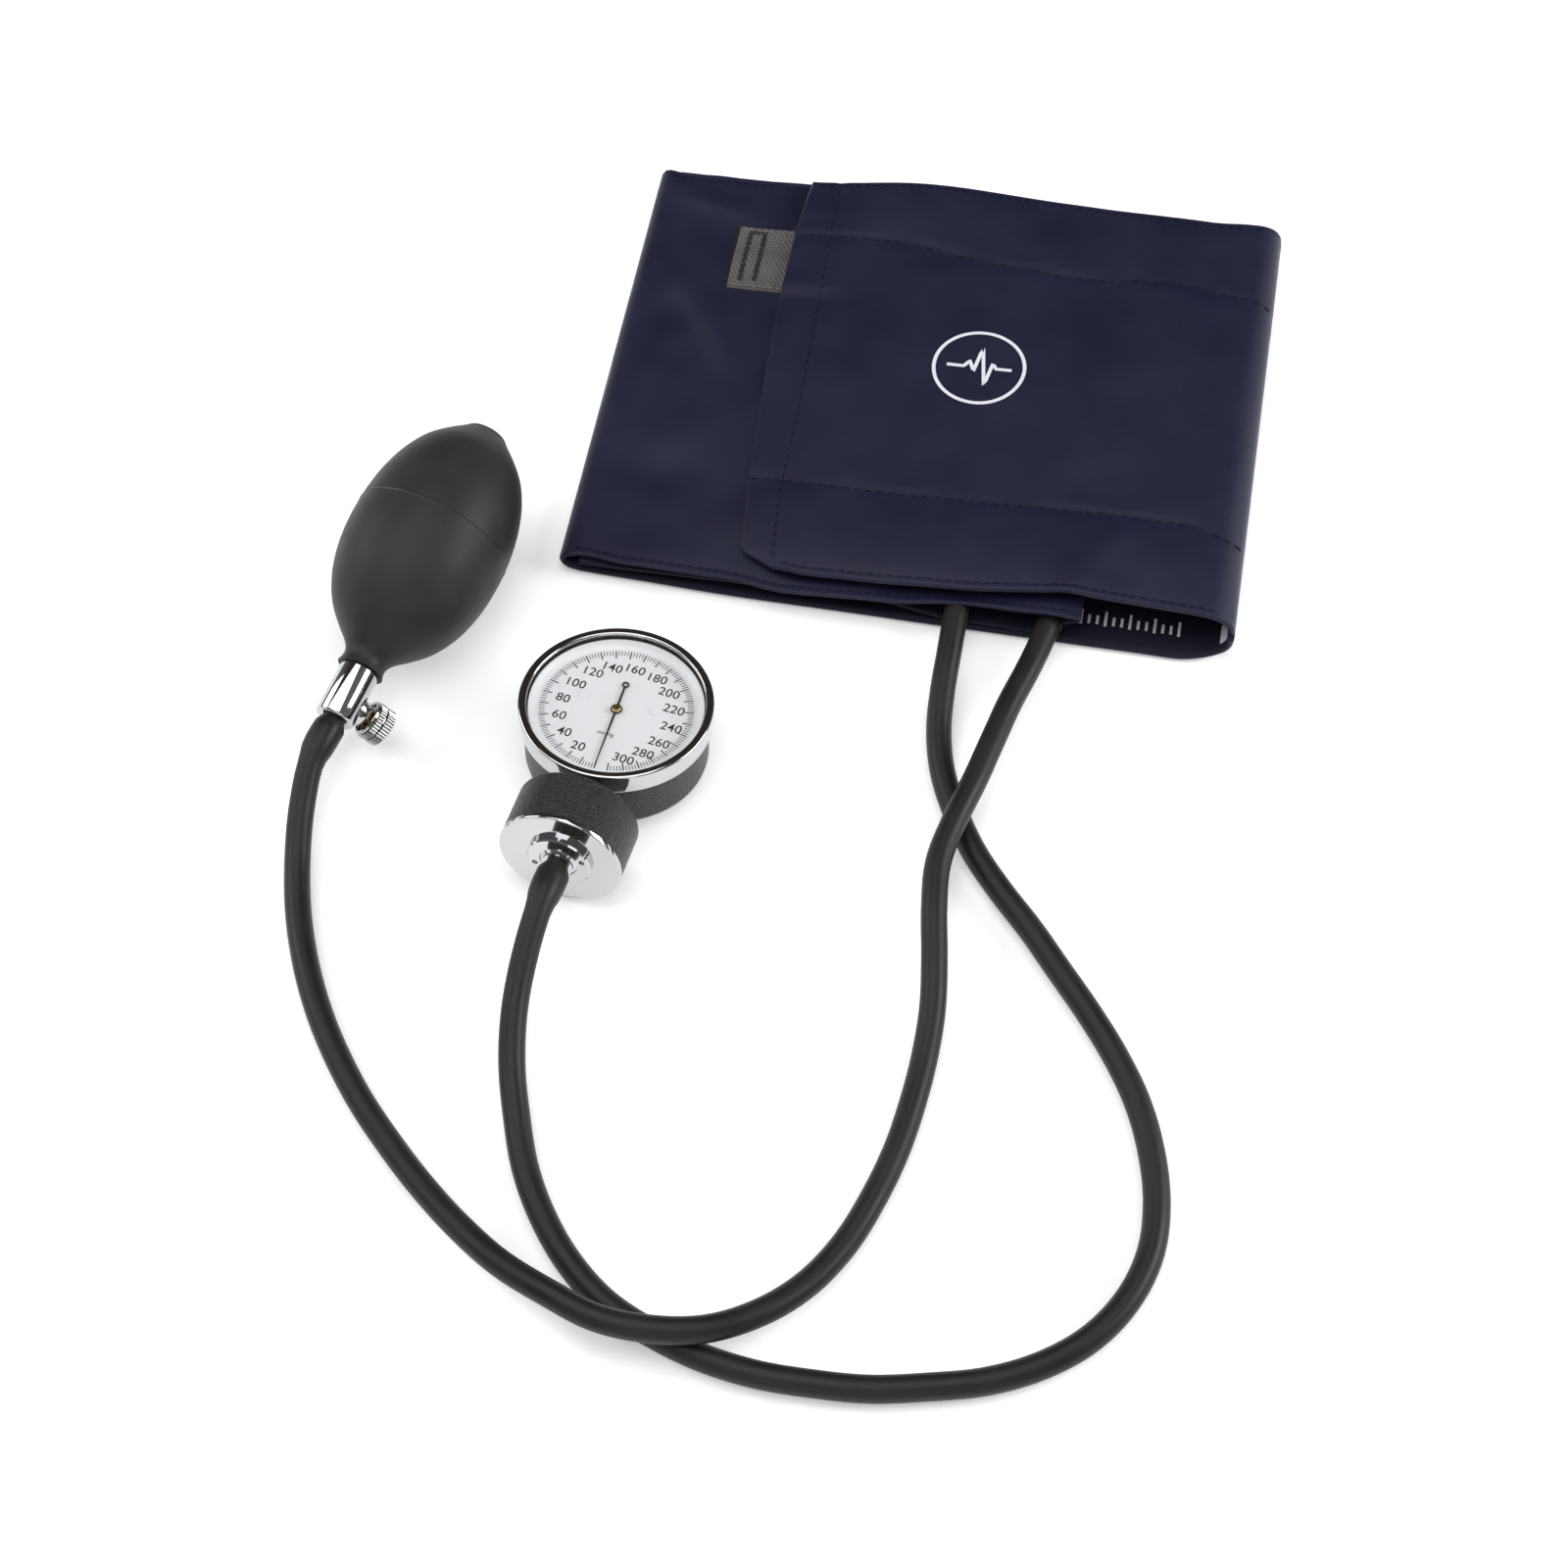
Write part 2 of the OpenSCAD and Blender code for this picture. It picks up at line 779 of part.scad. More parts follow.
module capsule_housing() {
    front = end_plate_y - end_plate_t;
    color("black")
        at_stem()
            rotate_extrude()
                polygon([
                    [spigot_r, housing_y], [housing_r - 1, housing_y], [housing_r - 0.3, housing_y + 0.3],
                    [housing_r, housing_y + 1], [housing_r, front], [housing_r - housing_wall, front],
                    [housing_r - housing_wall, housing_y + housing_wall],
                    [spigot_r, housing_y + housing_wall]
                ]);
}

module housing_seal() {
    color("dimgray")
        at_stem()
            translate([0, 0, end_plate_y - end_plate_t - 1])
                tube(housing_r - housing_wall, housing_r - housing_wall - 1.5, 1);
}

module end_plate() {
    color("silver")
        at_stem()
            rotate_extrude()
                polygon([
                    [ring_bore_r, end_plate_y - end_plate_t], [housing_r, end_plate_y - end_plate_t],
                    [housing_r, end_plate_y - 0.3], [housing_r - 0.3, end_plate_y],
                    [housing_r - 0.7, end_plate_y], [housing_r - 1, end_plate_y - 0.25],
                    [ring_bore_r, end_plate_y - 0.25]
                ]);
}

module spanner_ring() {
    color("silver")
        at_stem()
            difference() {
                rotate_extrude()
                    polygon([
                        [ring_bore_r, end_plate_y - 0.25], [ring_r, end_plate_y - 0.25],
                        [ring_r, end_plate_y + ring_t - 0.4], [ring_r - 0.4, end_plate_y + ring_t],
                        [ring_bore_r, end_plate_y + ring_t]
                    ]);
                for (a = [20, 200])
                    rotate([0, 0, a])
                        translate([6.9, 0, end_plate_y])
                            cylinder(r = 0.8, h = ring_t + cut);
            }
}

module gauge_barb() {
    face = end_plate_y;
    color("silver")
        at_stem()
            rotate_extrude()
                polygon([
                    [barb_bore_r, face - barb_seat], [4, face - barb_seat], [4, face - 3.6],
                    [ring_bore_r, face - 3.6], [ring_bore_r, face + 0.9], [4.3, face + 1.4],
                    [4.3, face + 2.2], [3.2, face + 2.6], [2.2, face + 2.7], [2.2, face + 5],
                    [2.8, face + 5.2], [2.2, face + 8], [2.2, face + 9], [2.8, face + 9.2],
                    [2.2, face + 12], [1.9, barb_end], [barb_bore_r, barb_end]
                ]);
}

// Two corrugated discs joined at the rim: the sealed chamber that pressure swells
module capsule() {
    waves = 4;
    steps = 24;
    half = capsule_t / 2;
    mid = capsule_y0 + half;
    wall = [
        for (i = [0:steps])
            let (u = i / steps, r = 2 + u * (capsule_r - 2))
                [r, (half - 0.95) * (1 - u) + 0.6 + 0.35 * sin(360 * waves * u) * (1 - u)]
    ];
    color("goldenrod")
        at_stem()
            difference() {
                rotate_extrude()
                    polygon(concat(
                        [[0, capsule_y0]],
                        [[2, capsule_y0]],
                        [for (p = wall) [p[0], mid - p[1]]],
                        [for (i = [steps:-1:0]) [wall[i][0], mid + wall[i][1]]],
                        [[2, capsule_y0 + capsule_t]],
                        [[0, capsule_y0 + capsule_t]]
                    ));
                rotate_extrude()
                    polygon([
                        [0, mid - half + 0.8], [3, mid - half + 1.3], [capsule_r - 1, mid - 0.2],
                        [capsule_r - 1, mid + 0.2], [3, mid + half - 1.3],
                        [barb_bore_r, mid + half - 0.9], [barb_bore_r, mid + half + cut],
                        [0, mid + half + cut]
                    ]);
            }
}

// ---- Bulb and valve ----

// Smooth curve through the bulb's shape points: the value at u along the bulb
function bulb_span(u, i) = i >= len(bulb_shape) - 2 || u < bulb_shape[i + 1][0]
    ? i
    : bulb_span(u, i + 1);
function bulb_radius(u) =
    let (
        i = bulb_span(u, 0),
        a = bulb_shape[max(i - 1, 0)],
        b = bulb_shape[i],
        c = bulb_shape[i + 1],
        d = bulb_shape[min(i + 2, len(bulb_shape) - 1)],
        w = c[0] - b[0],
        t = (u - b[0]) / w,
        m0 = (c[1] - a[1]) / (c[0] - a[0]) * w,
        m1 = (d[1] - b[1]) / (d[0] - b[0]) * w
    )
        bulb_r * ((2 * t ^ 3 - 3 * t ^ 2 + 1) * b[1] + (t ^ 3 - 2 * t ^ 2 + t) * m0
            + (3 * t ^ 2 - 2 * t ^ 3) * c[1] + (t ^ 3 - t ^ 2) * m1);

module bulb_shell() {
    steps = 40;
    color("black")
        at_bulb()
            rotate_extrude()
                polygon(concat(
                    [for (i = [0:steps]) [bulb_radius(i / steps), bulb_len * i / steps]],
                    [[bulb_bore_r, bulb_len], [bulb_bore_r, bulb_len - inlet_depth + 1]],
                    [
                        for (i = [steps - 4:-1:5])
                            [
                                max(bulb_bore_r, bulb_radius(i / steps) - bulb_wall),
                                bulb_len * i / steps
                            ]
                    ],
                    [[bulb_bore_r, 8], [bulb_bore_r, 0]]
                ));
}

module inlet_body() {
    z0 = bulb_len - inlet_depth;
    chamber = inlet_rest + inlet_seat + ball_lift + 2 * ball_air;
    color("silver")
        at_bulb()
            difference() {
                translate([0, 0, z0])
                    cylinder(r = bulb_bore_r, h = inlet_depth - 0.4);
                translate([0, 0, z0 - cut])
                    cylinder(r = ball_chamber_r, h = chamber + cut);
                translate([0, 0, z0])
                    cylinder(r = air_bore_r, h = inlet_depth + cut);
            }
}

module inlet_ball() {
    color("gray")
        at_bulb()
            translate([0, 0, bulb_len - inlet_depth + inlet_rest + ball_air])
                sphere(r = ball_r);
}

module inlet_cage() {
    color("silver")
        at_bulb()
            translate([0, 0, bulb_len - inlet_depth - cage_t])
                difference() {
                    tube(bulb_bore_r - 0.4, cage_bore_r, cage_t);
                    translate([-ball_chamber_r, -slot_w / 2, -cut])
                        cube([2 * ball_chamber_r, slot_w, cage_t + 2 * cut]);
                }
}

module release_valve_body() {
    color("silver")
        difference() {
            union() {
                at_bulb()
                    rotate_extrude()
                        polygon([
                            [0, -valve_len - stub_len], [1.9, -valve_len - stub_len],
                            [2.8, -valve_len - stub_len + 3.5], [2.2, -valve_len - stub_len + 3.7],
                            [2.2, -valve_len - stub_len + 5.5], [2.8, -valve_len - stub_len + 8],
                            [2.2, -valve_len - stub_len + 8.2], [2.2, -valve_len],
                            [valve_r - 0.6, -valve_len], [valve_r, -valve_len + 0.6],
                            [valve_r, -0.6], [valve_r - 0.5, -0.1], [bulb_bore_r, -0.1],
                            [bulb_bore_r, outlet_seat_z], [0, outlet_seat_z]
                        ]);
                at_knob()
                    cylinder(r = boss_r, h = boss_len);
            }
            at_bulb()
                translate([0, 0, outlet_floor_z])
                    cylinder(r = ball_chamber_r, h = outlet_seat_z);
            at_bulb()
                translate([0, 0, -valve_len - stub_len - cut])
                    cylinder(r = air_bore_r, h = valve_len + stub_len + outlet_floor_z + 2 * cut);
            at_bulb()
                translate([-ball_chamber_r, -slot_w / 2, outlet_floor_z - 1])
                    cube([2 * ball_chamber_r, slot_w, 1 + cut]);
            at_knob()
                translate([0, 0, 4])
                    cylinder(r = spindle_r + fit_gap, h = boss_len);
            at_knob()
                cylinder(r = 1, h = boss_len);
        }
}

module outlet_seat() {
    color("goldenrod")
        at_bulb()
            translate([0, 0, outlet_seat_z])
                tube(bulb_bore_r, air_bore_r, 1.2);
}

module outlet_ball() {
    color("gray")
        at_bulb()
            translate([0, 0, outlet_floor_z + outlet_rest + ball_air])
                sphere(r = outlet_ball_r);
}

module gland_nut() {
    color("goldenrod")
        at_knob()
            translate([0, 0, boss_len])
                difference() {
                    cylinder(r = 2.9, h = 1.6, $fn = 6);
                    translate([0, 0, -cut])
                        cylinder(r = spindle_r + fit_gap, h = 1.6 + 2 * cut, $fn = 64);
                }
}

module needle_spindle() {
    color("goldenrod")
        at_knob()
            rotate_extrude()
                polygon([
                    [0, 2.2], [0.3, 2.2], [0.85, 3.6], [0.85, 4.1], [spindle_r, 4.5],
                    [spindle_r, 12.4], [0, 12.4]
                ]);
}

module knurled_band(height) {
    linear_extrude(height)
        polygon([
            for (i = [0:2 * knurl_teeth - 1])
                let (a = 180 * i / knurl_teeth, r = i % 2 == 0 ? knob_r : knob_r - knurl_depth)
                    r * [cos(a), sin(a)]
        ]);
}

module thumb_screw() {
    core_r = knob_r - knurl_depth - 0.15;
    color("silver")
        at_knob()
            translate([0, 0, knob_in])
                difference() {
                    union() {
                        cylinder(r = core_r, h = knob_len - 0.4);
                        translate([0, 0, 0.4])
                            knurled_band(2.5);
                        translate([0, 0, 3.4])
                            knurled_band(2.7);
                        translate([0, 0, knob_len - 0.4])
                            cylinder(r1 = core_r, r2 = core_r - 0.5, h = 0.4);
                    }
                    translate([0, 0, -cut])
                        cylinder(r = 4.3, h = 1.6 + cut);
                    translate([0, 0, -cut])
                        cylinder(r = spindle_r + fit_gap, h = 12.4 + fit_gap - knob_in + cut);
                }
}

cuff_bottom_panel();
cuff_left_fold();
cuff_inner_panel();
cuff_side_panel();
cuff_flap();
hook_patch();
loop_patch();
webbing_tab();
bladder();
gauge_port();
bulb_port();
gauge_hose();
bulb_hose();
gauge_case();
bezel();
lens();
lens_gasket();
dial_plate();
dial_screws();
dial_feet();
pointer();
pointer_hub();
pinion_arbor();
hairspring();
sector_gear();
push_rod();
lower_plate();
upper_plate();
movement_pillars();
movement_screws();
neck_tube();
neck_nuts();
capsule_housing();
housing_seal();
end_plate();
spanner_ring();
gauge_barb();
capsule();
bulb_shell();
inlet_body();
inlet_ball();
inlet_cage();
release_valve_body();
outlet_seat();
outlet_ball();
gland_nut();
needle_spindle();
thumb_screw();
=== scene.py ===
"""Looks of an upper arm blood pressure monitor: cuff, hoses, dial gauge, bulb and valve."""
import json
import math

import bmesh
import bpy
import numpy as np
from mathutils import Matrix, Vector, noise


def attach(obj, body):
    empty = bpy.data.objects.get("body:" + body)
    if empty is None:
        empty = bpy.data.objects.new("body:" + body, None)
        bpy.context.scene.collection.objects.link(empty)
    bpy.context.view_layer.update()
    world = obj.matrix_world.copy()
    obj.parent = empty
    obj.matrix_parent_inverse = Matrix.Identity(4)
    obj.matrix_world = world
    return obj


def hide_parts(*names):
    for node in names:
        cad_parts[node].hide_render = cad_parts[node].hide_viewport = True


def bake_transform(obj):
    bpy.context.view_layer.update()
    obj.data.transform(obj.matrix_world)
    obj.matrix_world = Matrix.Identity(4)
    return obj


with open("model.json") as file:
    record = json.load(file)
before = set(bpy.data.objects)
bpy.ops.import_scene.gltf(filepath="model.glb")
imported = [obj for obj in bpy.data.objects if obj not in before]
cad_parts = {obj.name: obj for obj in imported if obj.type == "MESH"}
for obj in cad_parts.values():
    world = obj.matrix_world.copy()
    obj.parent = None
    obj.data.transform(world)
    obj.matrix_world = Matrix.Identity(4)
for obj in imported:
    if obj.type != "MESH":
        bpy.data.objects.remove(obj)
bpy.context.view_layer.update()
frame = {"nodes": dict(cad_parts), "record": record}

MM = 0.001
joints = {j["name"]: j for j in frame["record"]["behaviour"]["joints"]}


# ---------- Camera and stage ----------

def look_at(obj, target):
    """Turns obj so that its -Z axis meets target."""
    direction = Vector(target) - obj.location
    obj.rotation_euler = direction.to_track_quat("-Z", "Y").to_euler()


def add_camera():
    data = bpy.data.cameras.new("camera")
    data.lens = 70.9
    data.sensor_width = 36
    data.clip_start = 0.01
    camera = bpy.data.objects.new("camera", data)
    bpy.context.scene.collection.objects.link(camera)
    camera.location = (0.0885, -0.5229, 0.7069)
    look_at(camera, (0.0097, -0.0760, 0))
    bpy.context.scene.camera = camera


add_camera()


# ---------- Materials ----------

def new_material(name, colour, rough, metal=0.0, **sockets):
    material = bpy.data.materials.new(name)
    material.use_nodes = True
    material.diffuse_color = (*colour, 1)
    shader = material.node_tree.nodes["Principled BSDF"]
    shader.inputs["Base Color"].default_value = (*colour, 1)
    shader.inputs["Roughness"].default_value = rough
    shader.inputs["Metallic"].default_value = metal
    for key, value in sockets.items():
        shader.inputs[key.replace("_", " ")].default_value = value
    return material, material.node_tree, shader


def add_node(tree, kind, **settings):
    node = tree.nodes.new(kind)
    for key, value in settings.items():
        if key in node.inputs.keys():
            node.inputs[key].default_value = value
        else:
            setattr(node, key, value)
    return node


def coordinates(tree, kind="Object", scale=(1, 1, 1)):
    """Texture coordinates in millimetres, times scale."""
    source = add_node(tree, "ShaderNodeTexCoord")
    mapping = add_node(tree, "ShaderNodeMapping")
    mapping.inputs["Scale"].default_value = [s / MM for s in scale]
    tree.links.new(source.outputs[kind], mapping.inputs["Vector"])
    return mapping.outputs["Vector"]


def noise_field(tree, vector, scale, detail=3.0, rough=0.5):
    node = add_node(tree, "ShaderNodeTexNoise", Scale=scale, Detail=detail, Roughness=rough)
    tree.links.new(vector, node.inputs["Vector"])
    return node.outputs["Fac"]


def remap(tree, value, low, high, out_low, out_high):
    node = add_node(tree, "ShaderNodeMapRange")
    for key, number in (("From Min", low), ("From Max", high), ("To Min", out_low), ("To Max", out_high)):
        node.inputs[key].default_value = number
    tree.links.new(value, node.inputs["Value"])
    return node.outputs["Result"]


def math_node(tree, operation, a, b=None):
    node = add_node(tree, "ShaderNodeMath", operation=operation)
    for i, value in enumerate((a, b)):
        if value is None:
            continue
        if isinstance(value, (int, float)):
            node.inputs[i].default_value = value
        else:
            tree.links.new(value, node.inputs[i])
    return node.outputs["Value"]


def mix_colours(tree, factor, one, two):
    node = add_node(tree, "ShaderNodeMix", data_type="RGBA")
    tree.links.new(factor, node.inputs["Factor"])
    for socket, colour in (("A", one), ("B", two)):
        target = [i for i in node.inputs if i.name == socket and i.type == "RGBA"][0]
        target.default_value = (*colour, 1)
    return [o for o in node.outputs if o.type == "RGBA"][0]


def add_bump(tree, shader, height, distance, strength=1.0):
    node = add_node(tree, "ShaderNodeBump", Distance=distance * MM, Strength=strength)
    tree.links.new(height, node.inputs["Height"])
    previous = shader.inputs["Normal"].links
    if previous:
        tree.links.new(previous[0].from_socket, node.inputs["Normal"])
    tree.links.new(node.outputs["Normal"], shader.inputs["Normal"])


def tint(tree, shader, factor, one, two):
    tree.links.new(mix_colours(tree, factor, one, two), shader.inputs["Base Color"])


def weighted_sum(tree, *terms):
    total = 0.0
    for value, weight in terms:
        total = math_node(tree, "ADD", math_node(tree, "MULTIPLY", value, weight), total)
    return total


def weave_height(tree, vector, pitch):
    """Plain weave: warp and weft swap which is on top."""
    split = add_node(tree, "ShaderNodeSeparateXYZ")
    tree.links.new(vector, split.inputs["Vector"])
    waves = [
        math_node(tree, "SINE", math_node(tree, "MULTIPLY", split.outputs[axis], math.pi / pitch))
        for axis in ("X", "Y")
    ]
    return math_node(tree, "MULTIPLY", waves[0], waves[1])


def fabric(name, dark, light, pitch, relief, rough, kind="UV", **sockets):
    """Woven cloth: weave relief, uneven dye and soft rubbing of the sheen."""
    material, tree, shader = new_material(name, dark, rough, **sockets)
    vector = coordinates(tree, kind)
    weave = weave_height(tree, vector, pitch)
    slub = noise_field(tree, vector, 0.9, 4)
    cloud = noise_field(tree, vector, 0.045, 3)
    shade = weighted_sum(tree, (cloud, 0.55), (slub, 0.3), (weave, 0.12))
    tint(tree, shader, remap(tree, shade, 0.28, 0.62, 0, 1), dark, light)
    tree.links.new(remap(tree, cloud, 0.3, 0.7, rough - 0.05, rough + 0.07), shader.inputs["Roughness"])
    add_bump(tree, shader, weave, relief)
    add_bump(tree, shader, slub, relief * 1.6, 0.5)
    return material


def webbing_cloth():
    """Coarse grey band: light cords over gaps darkened with painted shade, plus random fuzz in the tone."""
    material, tree, shader = new_material("grey_webbing", (0.1, 0.097, 0.093), 0.9)
    shader.inputs["Specular IOR Level"].default_value = 0.2
    vector = coordinates(tree, "UV")
    weave = weave_height(tree, vector, 0.62)
    fuzz = noise_field(tree, vector, 2.4, 4)
    # Painted shade: the tint goes dark where the weave height falls to zero, in the gaps between the cords.
    shade = weighted_sum(tree, (math_node(tree, "ABSOLUTE", weave), 0.75), (fuzz, 0.6))
    tint(tree, shader, remap(tree, shade, 0.25, 0.95, 0, 1), (0.018, 0.017, 0.017), (0.215, 0.205, 0.195))
    add_bump(tree, shader, fuzz, 0.15)
    return material


def rubber(name, dark, light, rough, grain, shine=0.3):
    """Moulded rubber: fine grain, a little bloom and a roughness that wanders."""
    material, tree, shader = new_material(name, dark, rough)
    shader.inputs["Specular IOR Level"].default_value = shine
    vector = coordinates(tree)
    fine = noise_field(tree, vector, 3.2, 3)
    bloom = noise_field(tree, vector, 0.07, 4)
    tint(tree, shader, remap(tree, bloom, 0.35, 0.7, 0, 1), dark, light)
    tree.links.new(remap(tree, bloom, 0.3, 0.7, rough - 0.05, rough + 0.08), shader.inputs["Roughness"])
    add_bump(tree, shader, fine, grain)
    return material


def polished(name, colour, low, high, grain=0.0015, metal=1.0):
    """Plated or turned metal: faint smears in the roughness and hair-fine scratches."""
    material, tree, shader = new_material(name, colour, low, metal)
    vector = coordinates(tree)
    smear = noise_field(tree, vector, 0.35, 4)
    scratch = noise_field(tree, coordinates(tree, scale=(0.4, 6, 6)), 1.2, 5)
    tree.links.new(remap(tree, smear, 0.35, 0.75, low, high), shader.inputs["Roughness"])
    add_bump(tree, shader, scratch, grain)
    return material


def hammertone(name, dark, light):
    """Wrinkle paint: small rounded lumps with bright glints."""
    material, tree, shader = new_material(name, dark, 0.36)
    vector = coordinates(tree)
    lump = noise_field(tree, vector, 1.3, 2.5, 0.6)
    fine = noise_field(tree, vector, 4.0, 2)
    tint(tree, shader, remap(tree, lump, 0.42, 0.68, 0, 1), dark, light)
    tree.links.new(remap(tree, fine, 0.3, 0.7, 0.2, 0.48), shader.inputs["Roughness"])
    add_bump(tree, shader, lump, 0.9)
    add_bump(tree, shader, fine, 0.2)
    return material


def painted(name, colour, other, rough, speck):
    material, tree, shader = new_material(name, colour, rough)
    vector = coordinates(tree)
    grain = noise_field(tree, vector, 2.5, 3)
    tint(tree, shader, remap(tree, grain, 0.35, 0.7, 0, 1), colour, other)
    tree.links.new(remap(tree, grain, 0.3, 0.7, rough - 0.05, rough + 0.05), shader.inputs["Roughness"])
    add_bump(tree, shader, grain, speck)
    return material


def lens_glass():
    """Thin clear sheet: see-through, with a mirror that grows towards grazing angles."""
    material, tree, shader = new_material("lens_glass", (0.95, 0.97, 1.0), 0.015, 1.0)
    facing = add_node(tree, "ShaderNodeLayerWeight", Blend=0.5)
    grazing = math_node(tree, "POWER", facing.outputs["Facing"], 5.0)
    tree.links.new(remap(tree, grazing, 0, 1, 0.035, 0.6), shader.inputs["Alpha"])
    smear = noise_field(tree, coordinates(tree), 0.2, 4)
    tree.links.new(remap(tree, smear, 0.3, 0.7, 0.01, 0.03), shader.inputs["Roughness"])
    return material


navy = fabric("navy_nylon", (0.0060, 0.0066, 0.0235), (0.0120, 0.0128, 0.038), 0.42, 0.030, 0.44,
              Sheen_Weight=0.24, Sheen_Roughness=0.3, Specular_IOR_Level=0.27)
navy.node_tree.nodes["Principled BSDF"].inputs["Sheen Tint"].default_value = (0.4, 0.45, 0.9, 1)
navy_inside = fabric("navy_inside", (0.006, 0.0065, 0.016), (0.010, 0.0105, 0.024), 0.42, 0.030, 0.7,
                     Specular_IOR_Level=0.2)
thread_navy = fabric("navy_thread", (0.0030, 0.0033, 0.011), (0.0075, 0.0080, 0.024), 0.3, 0.02, 0.7,
                     "Object", Specular_IOR_Level=0.1)
webbing = webbing_cloth()
thread_black = fabric("black_thread", (0.008, 0.008, 0.008), (0.02, 0.02, 0.02), 0.3, 0.03, 0.7, "Object")
hook_tape = fabric("hook_tape", (0.012, 0.013, 0.02), (0.03, 0.032, 0.045), 0.75, 0.25, 0.7)
loop_tape = fabric("loop_tape", (0.014, 0.015, 0.03), (0.03, 0.032, 0.055), 0.5, 0.2, 0.95)
white_print = painted("white_print", (0.78, 0.79, 0.82), (0.62, 0.64, 0.68), 0.5, 0.02)
hose_rubber = rubber("hose_rubber", (0.0095, 0.0086, 0.0086), (0.0145, 0.0130, 0.0128), 0.44, 0.015)
bulb_rubber = rubber("bulb_rubber", (0.0170, 0.0156, 0.0158), (0.0235, 0.0218, 0.0220), 0.5, 0.02)
# The mould line's lighter, patchy colour is a painted highlight; its lower roughness makes it shinier too.
seam_highlight_rubber = rubber("seam_highlight_rubber", (0.02, 0.02, 0.021), (0.06, 0.06, 0.062), 0.3, 0.01)
chrome = polished("chrome", (0.56, 0.56, 0.575), 0.03, 0.08)
knob_chrome = polished("knob_chrome", (0.40, 0.395, 0.39), 0.08, 0.16)
satin_chrome = polished("satin_chrome", (0.60, 0.60, 0.61), 0.12, 0.24, 0.004)
brass = polished("brass", (0.72, 0.52, 0.24), 0.18, 0.32, 0.004)
steel = polished("steel", (0.55, 0.55, 0.57), 0.2, 0.35, 0.004)
spring_blue = polished("blued_spring", (0.12, 0.16, 0.3), 0.25, 0.4, 0.002)
black_paint = hammertone("hammertone", (0.005, 0.005, 0.0055), (0.026, 0.026, 0.029))
dial_paint = painted("dial_paint", (0.80, 0.81, 0.825), (0.74, 0.75, 0.77), 0.4, 0.004)
dial_rim_paint = painted("dial_rim_paint", (0.83, 0.84, 0.85), (0.78, 0.79, 0.81), 0.35, 0.004)
black_ink = painted("black_ink", (0.012, 0.012, 0.013), (0.02, 0.02, 0.021), 0.55, 0.01)
seal_rubber = rubber("seal_rubber", (0.02, 0.02, 0.02), (0.035, 0.035, 0.035), 0.6, 0.02)
glass = lens_glass()


# ---------- Mesh tools ----------

def mesh_object(name, points, faces, materials, face_material=None, uv=None, sharp=40):
    """Makes a smooth mesh object. points are in millimetres; uv is one pair a point, in metres."""
    mesh = bpy.data.meshes.new(name)
    mesh.from_pydata([tuple(float(x) * MM for x in p) for p in points], [], faces)
    for material in materials if isinstance(materials, (list, tuple)) else [materials]:
        mesh.materials.append(material)
    if face_material is not None:
        mesh.polygons.foreach_set("material_index", face_material)
    if uv is not None:
        layer = mesh.uv_layers.new(name="cloth")
        corner = np.zeros(len(mesh.loops), dtype=np.int32)
        mesh.loops.foreach_get("vertex_index", corner)
        layer.data.foreach_set("uv", np.asarray(uv, dtype=np.float32)[corner].ravel())
    work = bmesh.new()
    work.from_mesh(mesh)
    bmesh.ops.recalc_face_normals(work, faces=work.faces)
    work.to_mesh(mesh)
    work.free()
    mesh.polygons.foreach_set("use_smooth", [True] * len(mesh.polygons))
    mesh.set_sharp_from_angle(angle=math.radians(sharp))
    obj = bpy.data.objects.new(name, mesh)
    bpy.context.scene.collection.objects.link(obj)
    return obj


def place(matrix, points):
    return [matrix @ Vector(p) for p in points]


def lathe(name, matrix, profile, materials, sides=96, band_material=None, sharp=35):
    """Turns profile, (radius, height) pairs, round matrix's Z axis. Ends on the axis are closed."""
    points, rings = [], []
    for radius, height in profile:
        if radius < 1e-6:
            rings.append([len(points)])
            points.append((0, 0, height))
        else:
            rings.append(list(range(len(points), len(points) + sides)))
            turns = [2 * math.pi * k / sides for k in range(sides)]
            points += [(radius * math.cos(a), radius * math.sin(a), height) for a in turns]
    faces, bands = [], []
    closed = profile[0][0] > 1e-6 and profile[-1][0] > 1e-6
    pairs = list(zip(rings, rings[1:])) + ([(rings[-1], rings[0])] if closed else [])
    for index, (a, b) in enumerate(pairs):
        for k in range(sides):
            m = (k + 1) % sides
            if len(a) == 1 and len(b) == 1:
                continue
            if len(a) == 1:
                faces.append((a[0], b[m], b[k]))
            elif len(b) == 1:
                faces.append((a[k], a[m], b[0]))
            else:
                faces.append((a[k], a[m], b[m], b[k]))
            bands.append(band_material[index] if band_material else 0)
    return mesh_object(name, place(matrix, points), faces, materials, bands, sharp=sharp)


def smooth_values(knots, values, places):
    """Values read off a smooth curve through (knots, values)."""
    slopes = np.gradient(values, knots, axis=0)
    index = np.clip(np.searchsorted(knots, places, side="right") - 1, 0, len(knots) - 2)
    width = knots[index + 1] - knots[index]
    t = (places - knots[index]) / width
    if values.ndim > 1:
        width, t = width[:, None], t[:, None]
    return (
        (2 * t**3 - 3 * t**2 + 1) * values[index] + (t**3 - 2 * t**2 + t) * width * slopes[index]
        + (3 * t**2 - 2 * t**3) * values[index + 1] + (t**3 - t**2) * width * slopes[index + 1]
    )


